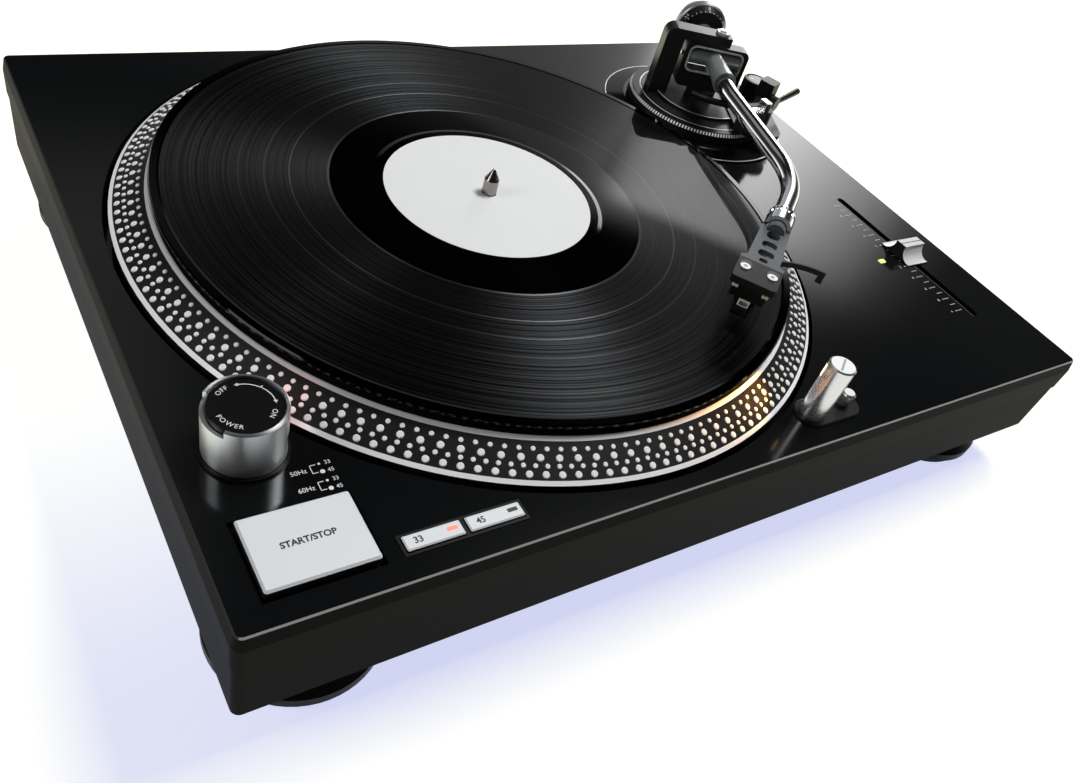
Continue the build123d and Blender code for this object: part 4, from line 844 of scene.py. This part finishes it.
def on_cap(far, angle, turn):
    """A place on the cap at a distance and a bearing from its middle, turned."""
    spot = Vector((far * cos(angle), far * sin(angle), 0))
    return cap_middle @ Matrix.Translation(spot) @ Matrix.Rotation(turn, 4, "Z")


def word_on_arc(bm, text, size, radius, middle, feet_in=True, gap=0.00045):
    """Letters along an arc of the cap, each as wide as it is drawn, with even gaps."""
    drawn = [letters(letter, size, 0.0) for letter in text]
    spans = [[vert.co.x for vert in mesh.vertices] for mesh in drawn]
    widths = [max(span) - min(span) for span in spans]
    along = -(sum(widths) + gap * (len(text) - 1)) / 2
    for mesh, width in zip(drawn, widths):
        step = (along + width / 2) / radius
        along += width + gap
        angle = middle - step if feet_in else middle + step
        lean = angle - pi / 2 if feet_in else angle + pi / 2
        add_mesh(bm, mesh, on_cap(radius, angle, lean))


bm = bmesh.new()
word_on_arc(bm, "OFF", word_size, 0.0102, radians(121))
word_on_arc(bm, "ON", word_size, 0.0096, radians(-38))
word_on_arc(bm, "POWER", word_size, 0.0098, radians(-141), feet_in=False)
arrow_from, arrow_to, arrow_radius = radians(92), radians(-8), 0.0101
arrow_inner, arrow_outer = arrow_radius - arrow_line / 2, arrow_radius + arrow_line / 2
spun_bar(bm, tower_axis, arrow_inner, arrow_outer, cap_top - INK, cap_top + INK, arrow_from, arrow_to, 16)
for angle, lean in ((arrow_from, 1), (arrow_to, -1)):
    for side in (-1, 1):
        barb = on_cap(arrow_radius, angle, angle - pi / 2 + side * barb_slant)
        print_bar(bm, barb_length, barb_width, barb @ Matrix.Translation((lean * barb_middle, 0, 0)))
print_bar(bm, tick_length, arrow_line, on_cap(tick_radius, tick, tick))
finish_piece("tower_print", bm, white_ink, "plinth")

# %% [markdown]
# Beside the tower a small legend tells which row of dots belongs to which speed, for both mains frequencies.
# It is ink on the deck: words, square brackets, and a small and a large dot.

# %% Legend on the deck
legend_z = deck_top + INK
legend_x, legend_y, legend_row, legend_line = -0.1800, -0.1205, 0.0078, 0.0018
mains_at, stem_at, arm_at, dot_at, speed_at = -0.0042, 0.0004, 0.0014, 0.0039, 0.0070
mains_size, speed_size, bracket_arm, bracket_width = 0.0028, 0.0024, 0.0022, 0.00030
small_dot, large_dot = 0.00050, 0.00090
bm = bmesh.new()
for row, mains in enumerate(("50Hz", "60Hz")):
    y = legend_y - row * legend_row
    print_word(bm, mains, mains_size, flat_on(legend_x + mains_at, y, legend_z))
    print_bar(bm, bracket_width, 2 * legend_line, flat_on(legend_x + stem_at, y, legend_z))
    for lift, speed, dot_radius in ((1, "33", small_dot), (-1, "45", large_dot)):
        line_y = y + lift * legend_line
        print_bar(bm, bracket_arm, bracket_width, flat_on(legend_x + arm_at, line_y, legend_z))
        print_dot(bm, dot_radius, flat_on(legend_x + dot_at, line_y, legend_z))
        print_word(bm, speed, speed_size, flat_on(legend_x + speed_at, line_y, legend_z))
finish_piece("speed_legend", bm, white_ink, "plinth")

# %% [markdown]
# The start and speed buttons are satin silver with dark print. Each speed button has a little lamp window at
# its right end. A window is a rounded plate: a flat face with its corners bevelled, then pushed up.

# %% Buttons' print and lamp windows
def rounded_plate(width, depth, corner, height, matrix, segments=3, rim=0.0):
    """A flat plate with rounded corners, or only its rim: one face, bevelled, inset and pushed up."""
    plate = bmesh.new()
    shape = Matrix.Diagonal((width, depth, 1, 1))
    bmesh.ops.create_grid(plate, x_segments=1, y_segments=1, size=0.5, matrix=shape)
    bmesh.ops.bevel(plate, geom=list(plate.verts), offset=corner, segments=segments, profile=0.5,
                    affect="VERTICES", material=-1)
    if rim:
        inside = plate.faces[:][0]
        bmesh.ops.inset_individual(plate, faces=[inside], thickness=rim, use_even_offset=True)
        bmesh.ops.delete(plate, geom=[inside], context="FACES_ONLY")
    pushed = bmesh.ops.extrude_face_region(plate, geom=list(plate.faces), use_keep_orig=True)
    lifted = [item for item in pushed["geom"] if isinstance(item, bmesh.types.BMVert)]
    bmesh.ops.translate(plate, verts=lifted, vec=(0, 0, height))
    plate.transform(matrix)
    return plate


start_size, number_size = 0.0034, 0.0036
number_at, window_at, window_up = -0.0058, 0.0072, 0.0004
start_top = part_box("start_stop_button")[1].z
start_middle = middle_of("start_stop_button")
bm = bmesh.new()
print_word(bm, "START/STOP", start_size, flat_on(start_middle.x, start_middle.y, start_top + INK), bold=0.03)
finish_piece("start_print", bm, black_ink, "start_stop")

for speed, lamp, lamp_slot in (("33", lamp_red, "strobe_red"), ("45", black_ink, "trim_black")):
    node, body = "button_" + speed, "speed_" + speed
    top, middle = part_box(node)[1].z, middle_of(node)
    bm = bmesh.new()
    print_word(bm, speed, number_size, flat_on(middle.x + number_at, middle.y, top + INK), bold=0.02)
    finish_piece(node + "_print", bm, black_ink, body)
    window = flat_on(middle.x + window_at, middle.y + window_up, top)
    bm = rounded_plate(width=0.0040, depth=0.0016, corner=0.0003, height=0.00008, matrix=window)
    finish_piece(node + "_window", bm, lamp, body)

# %% [markdown]
# The fader has a dark line across its flat ridge, to read its place on the scale. The scale beside the slot
# has a tick at every step and a number at every second one, in ink on the deck. A thin grey bar along the
# slot's left edge is a painted highlight, where the slot's bevel catches the light.

# %% Fader line and pitch scale
bm = bmesh.new()
print_bar(bm, length=0.0166, width=0.0006, matrix=flat_on(fader_middle.x, fader_middle.y, fader_high.z))
finish_piece("fader_line", bm, black_ink, "pitch_control")

scale_right = fader_middle.x - 0.0053
number_middle = scale_right - 0.0083
scale_step, scale_ends = 0.00487, 10
long_mark, short_mark, mark_width, mark_size = 0.0054, 0.0042, 0.00036, 0.0026
scale_ink = grained_finish("scale_ink", grey(0.42), grey(0.54), 2500, 0.45, 0.6, 0.05)
bm = bmesh.new()
for step in range(-scale_ends, scale_ends + 1):
    y = fader_middle.y + step * scale_step
    numbered = step % 2 == 0
    length = long_mark if numbered else short_mark
    print_bar(bm, length, mark_width, flat_on(scale_right - length / 2, y, legend_z))
    if numbered and step:
        mark = {scale_ends: "-", -scale_ends: "+"}.get(step, str(abs(step)))
        print_word(bm, mark, mark_size, flat_on(number_middle, y, legend_z), bold=0.01)
finish_piece("pitch_scale", bm, scale_ink, "plinth")

# The grey bar along the slot's left edge is a painted highlight on the slot's bevel.
slot_half_width, slot_length, slot_line, slot_gap = 0.0022, 0.1100, 0.0003, 0.00025
slot_left = fader_middle.x - slot_half_width - slot_gap
bm = bmesh.new()
print_bar(bm, slot_line, slot_length, flat_on(slot_left, fader_middle.y, legend_z))
painted_slot_highlight = grained_finish("painted_slot_highlight", grey(0.06), grey(0.10), 2500, 0.45, 0.6, 0.05)
finish_piece("slot_highlight_bar", bm, painted_slot_highlight, "plinth")

# %% [markdown]
# The ring under the tonearm raises and lowers the arm. Its sloped face has white ticks all round, each one a
# small bar that lies on the slope: they are painted highlights, where the ring's knurling catches the light.
# Thin light grey rims along the edges of the ring, the turret and the flange are painted highlights as well.

# %% Marks and rims of the arm's base
ring_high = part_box("height_ring")[1]
ring_top_radius, ring_foot_radius, ring_shoulder = 0.0424, 0.0440, deck_top + 0.0080
slant = Vector((ring_top_radius - ring_foot_radius, 0, ring_high.z - ring_shoulder))
bm = bmesh.new()
# The white ticks are painted highlights, standing in for the glints of the ring's knurling.
ring_ticks = 144
slant_normal = Vector((slant.z, 0, -slant.x)).normalized()
tick_foot = Vector((ring_foot_radius, 0, ring_shoulder)) + slant * 0.5 + slant_normal * INK
tick_seat = axes_matrix(tick_foot, slant, Vector((0, -1, 0)))
for index in range(ring_ticks):
    around = flat_on(arm_pivot.x, arm_pivot.y, 0, tau * index / ring_ticks)
    print_bar(bm, length=0.0018, width=0.00095, matrix=around @ tick_seat)
finish_piece("painted_knurl_glints", bm, dot_white, "height_adjuster")

turret_step = deck_top + 0.0125
flange_edge, flange_radius = deck_top + 0.0012, 0.0580
to_platter = platter_axis - arm_pivot
platter_side = atan2(to_platter.y, to_platter.x)
# The three thin light grey bands are painted highlights on the black edges of the ring, the turret and the
# flange.
bm = bmesh.new()
spun_bar(bm, arm_pivot, inner=0.0374, outer=0.0380, low=ring_high.z - 0.00005, high=ring_high.z + 0.00012)
finish_piece("height_edge_highlight", bm, satin_trim, "height_adjuster")
bm = bmesh.new()
spun_bar(bm, arm_pivot, inner=0.0284, outer=0.0289, low=turret_step - 0.0001, high=turret_step + 0.00012)
finish_piece("turret_edge_highlight", bm, satin_trim, "arm_mount")
bm = bmesh.new()
spun_bar(bm, arm_pivot, inner=flange_radius - 0.0007, outer=flange_radius - 0.0001, low=flange_edge,
         high=flange_edge + 0.0002, first=platter_side + radians(36), last=platter_side + radians(324))
finish_piece("flange_edge_highlight", bm, satin_trim, "plinth")

# %% [markdown]
# The tracking force dial in front of the counterweight has ticks and numbers on its cone. Every mark lies on
# the cone's slope, and its place is worked out from how far the dial reaches along the arm.

# %% Marks on the force dial
arm_side = upward.cross(arm_forward)


def reach(node, origin, axis):
    """How far a node reaches along an axis, measured on its own mesh."""
    solid = frame["nodes"][node]
    spans = [(solid.matrix_world @ vert.co - origin).dot(axis) for vert in solid.data.vertices]
    return min(spans), max(spans)


dial_back, dial_front = reach("weight_dial", arm_pivot, arm_forward)
dial_back_radius, dial_front_radius = 0.0154, 0.0132
marks, long_every = 30, 5
tick_margin, long_length, short_length, tick_width = 0.0003, 0.0016, 0.0010, 0.00030
force_up, force_size = 0.0036, 0.0026
bm = bmesh.new()
for index in range(marks):
    angle = tau * index / marks
    outward = (upward * cos(angle) + arm_side * sin(angle)).normalized()
    back = arm_pivot + arm_forward * dial_back + outward * dial_back_radius
    front = arm_pivot + arm_forward * dial_front + outward * dial_front_radius
    uphill = (back - front).normalized()
    right = uphill.cross(outward).normalized()
    normal = right.cross(uphill).normalized()
    long_tick = index % long_every == 0
    length = long_length if long_tick else short_length
    spot = front + uphill * (tick_margin + length / 2) + normal * INK
    print_bar(bm, tick_width, length, axes_matrix(spot, right, uphill))
    if long_tick:
        force = str(index // long_every / 2).replace(".0", "")
        spot = front + uphill * force_up + normal * INK
        print_word(bm, force, force_size, axes_matrix(spot, right, uphill))
finish_piece("dial_marks", bm, white_ink, "force_dial")

# %% [markdown]
# The anti-skate knob has a grey face with a rounded edge, turned like the knob itself, and a white pointer.

# %% Face of the anti-skate knob
knob_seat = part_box("anti_skate_knob")[1].z - 0.0005
knob_face_top = knob_seat + 0.00045
bm = turned_shape(knob_axis, [(0.0, knob_face_top), (0.0056, knob_face_top), (0.0062, knob_seat + 0.0002),
                              (0.0064, knob_seat + 0.00002), (0.0, knob_seat + 0.00002)])
knob_face = turned_finish("knob_face", grey(0.24, 1.05), grey(0.32, 1.05), knob_axis, upward,
                          5200, 0.32, 0.44, 0.08, Specular_IOR_Level=0.2)
finish_piece("knob_face_disc", bm, knob_face, "anti_skate")
bm = bmesh.new()
pointer = flat_on(knob_axis.x, knob_axis.y, knob_face_top + INK, radians(150))
print_bar(bm, length=0.0030, width=0.0006, matrix=pointer @ Matrix.Translation((0.0036, 0, 0)))
finish_piece("knob_pointer", bm, white_ink, "anti_skate")

# %% [markdown]
# Small fittings at the front of the arm: cream terminals on the cartridge's front, and the pale grip by which
# the stylus is pulled out. They are tiny, but the eye goes to the needle, so they are modelled: pins as short
# cones, the grip as a block with bevelled edges and a darker plate on its front.

# %% Cartridge terminals and stylus grip
shell_side = upward.cross(shell_forward)


def shell_point(forward, side, lift):
    return shell_start + shell_forward * (forward * MM) + shell_side * (side * MM) + upward * (lift * MM)


cartridge_front = reach("cartridge", shell_start, shell_forward)[1] / MM
terminal_sides, terminal_out, terminal_lift = (-7.7, -6.2, 6.2, 7.7), 0.5, -4.2
bm = bmesh.new()
for side in terminal_sides:
    seat = shell_point(cartridge_front + terminal_out, side, terminal_lift)
    facing_front = axes_matrix(seat, -shell_side, upward)
    bmesh.ops.create_cone(bm, cap_ends=True, segments=14, radius1=0.0008, radius2=0.0006, depth=0.0014,
                          matrix=facing_front)
terminal_cream = grained_finish("terminal_cream", (0.80, 0.70, 0.48), (0.92, 0.82, 0.60), 900,
                                0.25, 0.35, 0.03)
finish_piece("cartridge_terminals", bm, terminal_cream, "arm")

grip_back, grip_front, grip_low, grip_high, grip_half = 104.5, 107.4, -13.5, -10.0, 2.6
grip_lift = (grip_low + grip_high) / 2
grip_place = axes_matrix(shell_point((grip_back + grip_front) / 2, 0, grip_lift), -shell_side, upward)
size = Matrix.Diagonal((2 * grip_half * MM, (grip_high - grip_low) * MM, (grip_front - grip_back) * MM, 1))
bm = bmesh.new()
bmesh.ops.create_cube(bm, size=1.0, matrix=grip_place @ size)
bmesh.ops.bevel(bm, geom=list(bm.edges), offset=0.0003, segments=2, profile=0.5, affect="EDGES", material=-1)
grip_pale = grained_finish("grip_pale", (0.86, 0.78, 0.77), (0.95, 0.88, 0.87), 1500, 0.35, 0.48, 0.05)
finish_piece("stylus_grip", bm, grip_pale, "arm")
plate_place = axes_matrix(shell_point(grip_front, 0, grip_lift), -shell_side, upward)
bm = rounded_plate(width=0.0038, depth=0.0020, corner=0.0004, height=0.00006, matrix=plate_place)
grip_dim = grained_finish("grip_dim", (0.30, 0.22, 0.22), (0.38, 0.29, 0.29), 1500, 0.35, 0.48, 0.05)
finish_piece("stylus_grip_plate", bm, grip_dim, "arm")

# %% [markdown]
# The two cartridge screws sit in long black pockets of the headshell. A screw's face is a bright disc with a
# dark socket in its middle, and the pocket is a rounded black plate, because both are only tenths of a
# millimetre deep.

# %% Faces of the cartridge screws
def add_shape(bm, shape):
    """Put the shape of another bmesh into this one."""
    mesh = bpy.data.meshes.new("shape")
    shape.to_mesh(mesh)
    shape.free()
    add_mesh(bm, mesh, Matrix())


screw_top = reach("cartridge_screws", shell_start, upward)[1] / MM
shell_top = screw_top - 0.2
screw_back, screw_front = [far / MM for far in reach("cartridge_screws", shell_start, shell_forward)]
screw_forward = (screw_back + screw_front) / 2
screw_side = reach("cartridge_screws", shell_start, shell_side)[1] / MM - (screw_front - screw_back) / 2
pocket_forward, face_lift = screw_forward - 1.3, screw_top + 0.03
pockets, faces, sockets = bmesh.new(), bmesh.new(), bmesh.new()
for side in (-screw_side, screw_side):
    lying = axes_matrix(shell_point(pocket_forward, side, shell_top), shell_forward, shell_side)
    pocket = rounded_plate(width=0.0078, depth=0.0054, corner=0.00255, height=0.00004, matrix=lying)
    add_shape(pockets, pocket)
    standing = axes_matrix(shell_point(screw_forward, side, face_lift), shell_forward, shell_side)
    bmesh.ops.create_cone(faces, cap_ends=True, segments=32, radius1=0.0024, radius2=0.0022, depth=0.00008,
                          matrix=standing)
    bmesh.ops.create_cone(sockets, cap_ends=True, segments=6, radius1=0.0010, radius2=0.0010, depth=0.00004,
                          matrix=standing @ Matrix.Translation((0, 0, 0.00005)))
finish_piece("screw_pockets", pockets, black_ink, "arm")
finish_piece("screw_faces", faces, white_ink, "arm")
socket_grey = grained_finish("socket_grey", grey(0.22), grey(0.30), 2000, 0.35, 0.45, 0.03)
finish_piece("screw_sockets", sockets, socket_grey, "arm")

# %% [markdown]
# The spindle of this player ends in a long cone, so that a record finds its hole in the dark. The turned pin
# is spun from half of its outline, with the same low neck above the label as the solid that it stands for.

# %% Spindle with a conical tip
pin_low, pin_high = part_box("spindle")
pin_radius, neck_radius, tip_radius = 0.00357, 0.00327, 0.0005
cone_length, tip_length = 0.0055, 0.0002
neck_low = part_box("record_label")[1].z
neck_high = neck_low + 0.0008
bm = turned_shape(platter_axis, [
    (0.0, pin_low.z), (pin_radius, pin_low.z), (pin_radius, neck_low), (neck_radius, neck_low),
    (neck_radius, neck_high), (pin_radius, neck_high), (pin_radius, pin_high.z - cone_length),
    (tip_radius, pin_high.z - tip_length), (0.0, pin_high.z),
])
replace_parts(finish_piece("spindle_pin", bm, spindle_steel, "platter"), "spindle")

# %% [markdown]
# The target light and its release button have flat, brightly faced tops. Each is a thin disc on the turned
# stem, spun from a short profile, and the lamp's has a slot across it for a key.

# %% Faced tops of the target light
def faced_top(name, node, disc_radius, body):
    middle = middle_of(node)
    foot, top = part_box(node)[1].z - 0.00005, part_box(node)[1].z + 0.00012
    bm = turned_shape(middle, [(0.0, top), (disc_radius - 0.0003, top), (disc_radius, foot), (0.0, foot)])
    faced = turned_finish(name + "_faced", grey(0.86, 1.02), grey(0.94, 1.02), middle, upward,
                          5000, 0.26, 0.36, 0.05)
    finish_piece(name, bm, faced, body)
    return Vector((middle.x, middle.y, top))


lamp_top = faced_top("target_lamp_top", "target_lamp", 0.0054, "target_light")
faced_top("target_release_top", "target_release", 0.0026, "target_button")
bm = bmesh.new()
print_bar(bm, length=0.0088, width=0.0009, matrix=flat_on(*lamp_top, radians(35)))
key_slot = grained_finish("key_slot", grey(0.28), grey(0.36), 2000, 0.4, 0.5, 0.03)
finish_piece("target_lamp_slot", bm, key_slot, "target_light")

# %% [markdown]
# The arm's gimbal yoke is black with a window whose edge is polished bright. The trim is a thin frame: a
# plate with its corners rounded, its middle inset and removed, then given a little thickness, once on each
# side.

# %% Bright trim round the yoke's window
window_half, window_low, window_high, window_round = 0.0162, -0.0074, 0.0062, 0.0030
yoke_half_thickness, trim_width, trim_height = 0.0045, 0.0012, 0.00015
bm = bmesh.new()
for face_at in (-1, 1):
    middle = arm_pivot + upward * (window_low + window_high) / 2 + arm_forward * face_at * yoke_half_thickness
    stand = axes_matrix(middle, arm_side * face_at, upward)
    trim = rounded_plate(2 * (window_half + trim_width), window_high - window_low + 2 * trim_width,
                         window_round + trim_width, trim_height, stand, segments=5, rim=trim_width)
    add_shape(bm, trim)
finish_piece("yoke_trim", bm, satin_trim, "arm_yoke")

# %% [markdown]
# Two lamps belong to the player: the warm one in the target light, which shows the needle's path, and the red
# strobe that lights the dots. They hang on their bodies, so they move with them.

# %% The player's own lamps
def own_lamp(name, body, place, aim, watts, colour, spread):
    lamp = bpy.data.lights.new(name, "SPOT")
    lamp.energy = watts
    lamp.color = colour
    lamp.spot_size = spread
    lamp.spot_blend = 0.8
    lamp.shadow_soft_size = 0.003
    bulb = bpy.data.objects.new(name, lamp)
    bulb.matrix_world = aimed(place, aim)
    scene.collection.objects.link(bulb)
    bulb.visible_glossy = False
    bulb.parent = frame["bodies"][body]


def towards_platter(place):
    return Vector((platter_axis.x - place.x, platter_axis.y - place.y, 0)).normalized()


lens_middle, strobe_middle = middle_of("target_lens"), middle_of("strobe_lens")
glow_spot = Vector((0.000, -0.144, deck_top + 0.006))
own_lamp("target_glow", "target_light", lens_middle + towards_platter(lens_middle) * 0.003, glow_spot,
         watts=0.50, colour=(1.0, 0.42, 0.07), spread=radians(52))
to_rim = towards_platter(strobe_middle)
strobe_spot = strobe_middle + to_rim * 0.05 - upward * 0.008
own_lamp("strobe_glow", "plinth", strobe_middle + to_rim * 0.006, strobe_spot,
         watts=0.003, colour=(1.0, 0.02, 0.02), spread=radians(80))
print("own lamps at", lens_middle[:], strobe_middle[:])
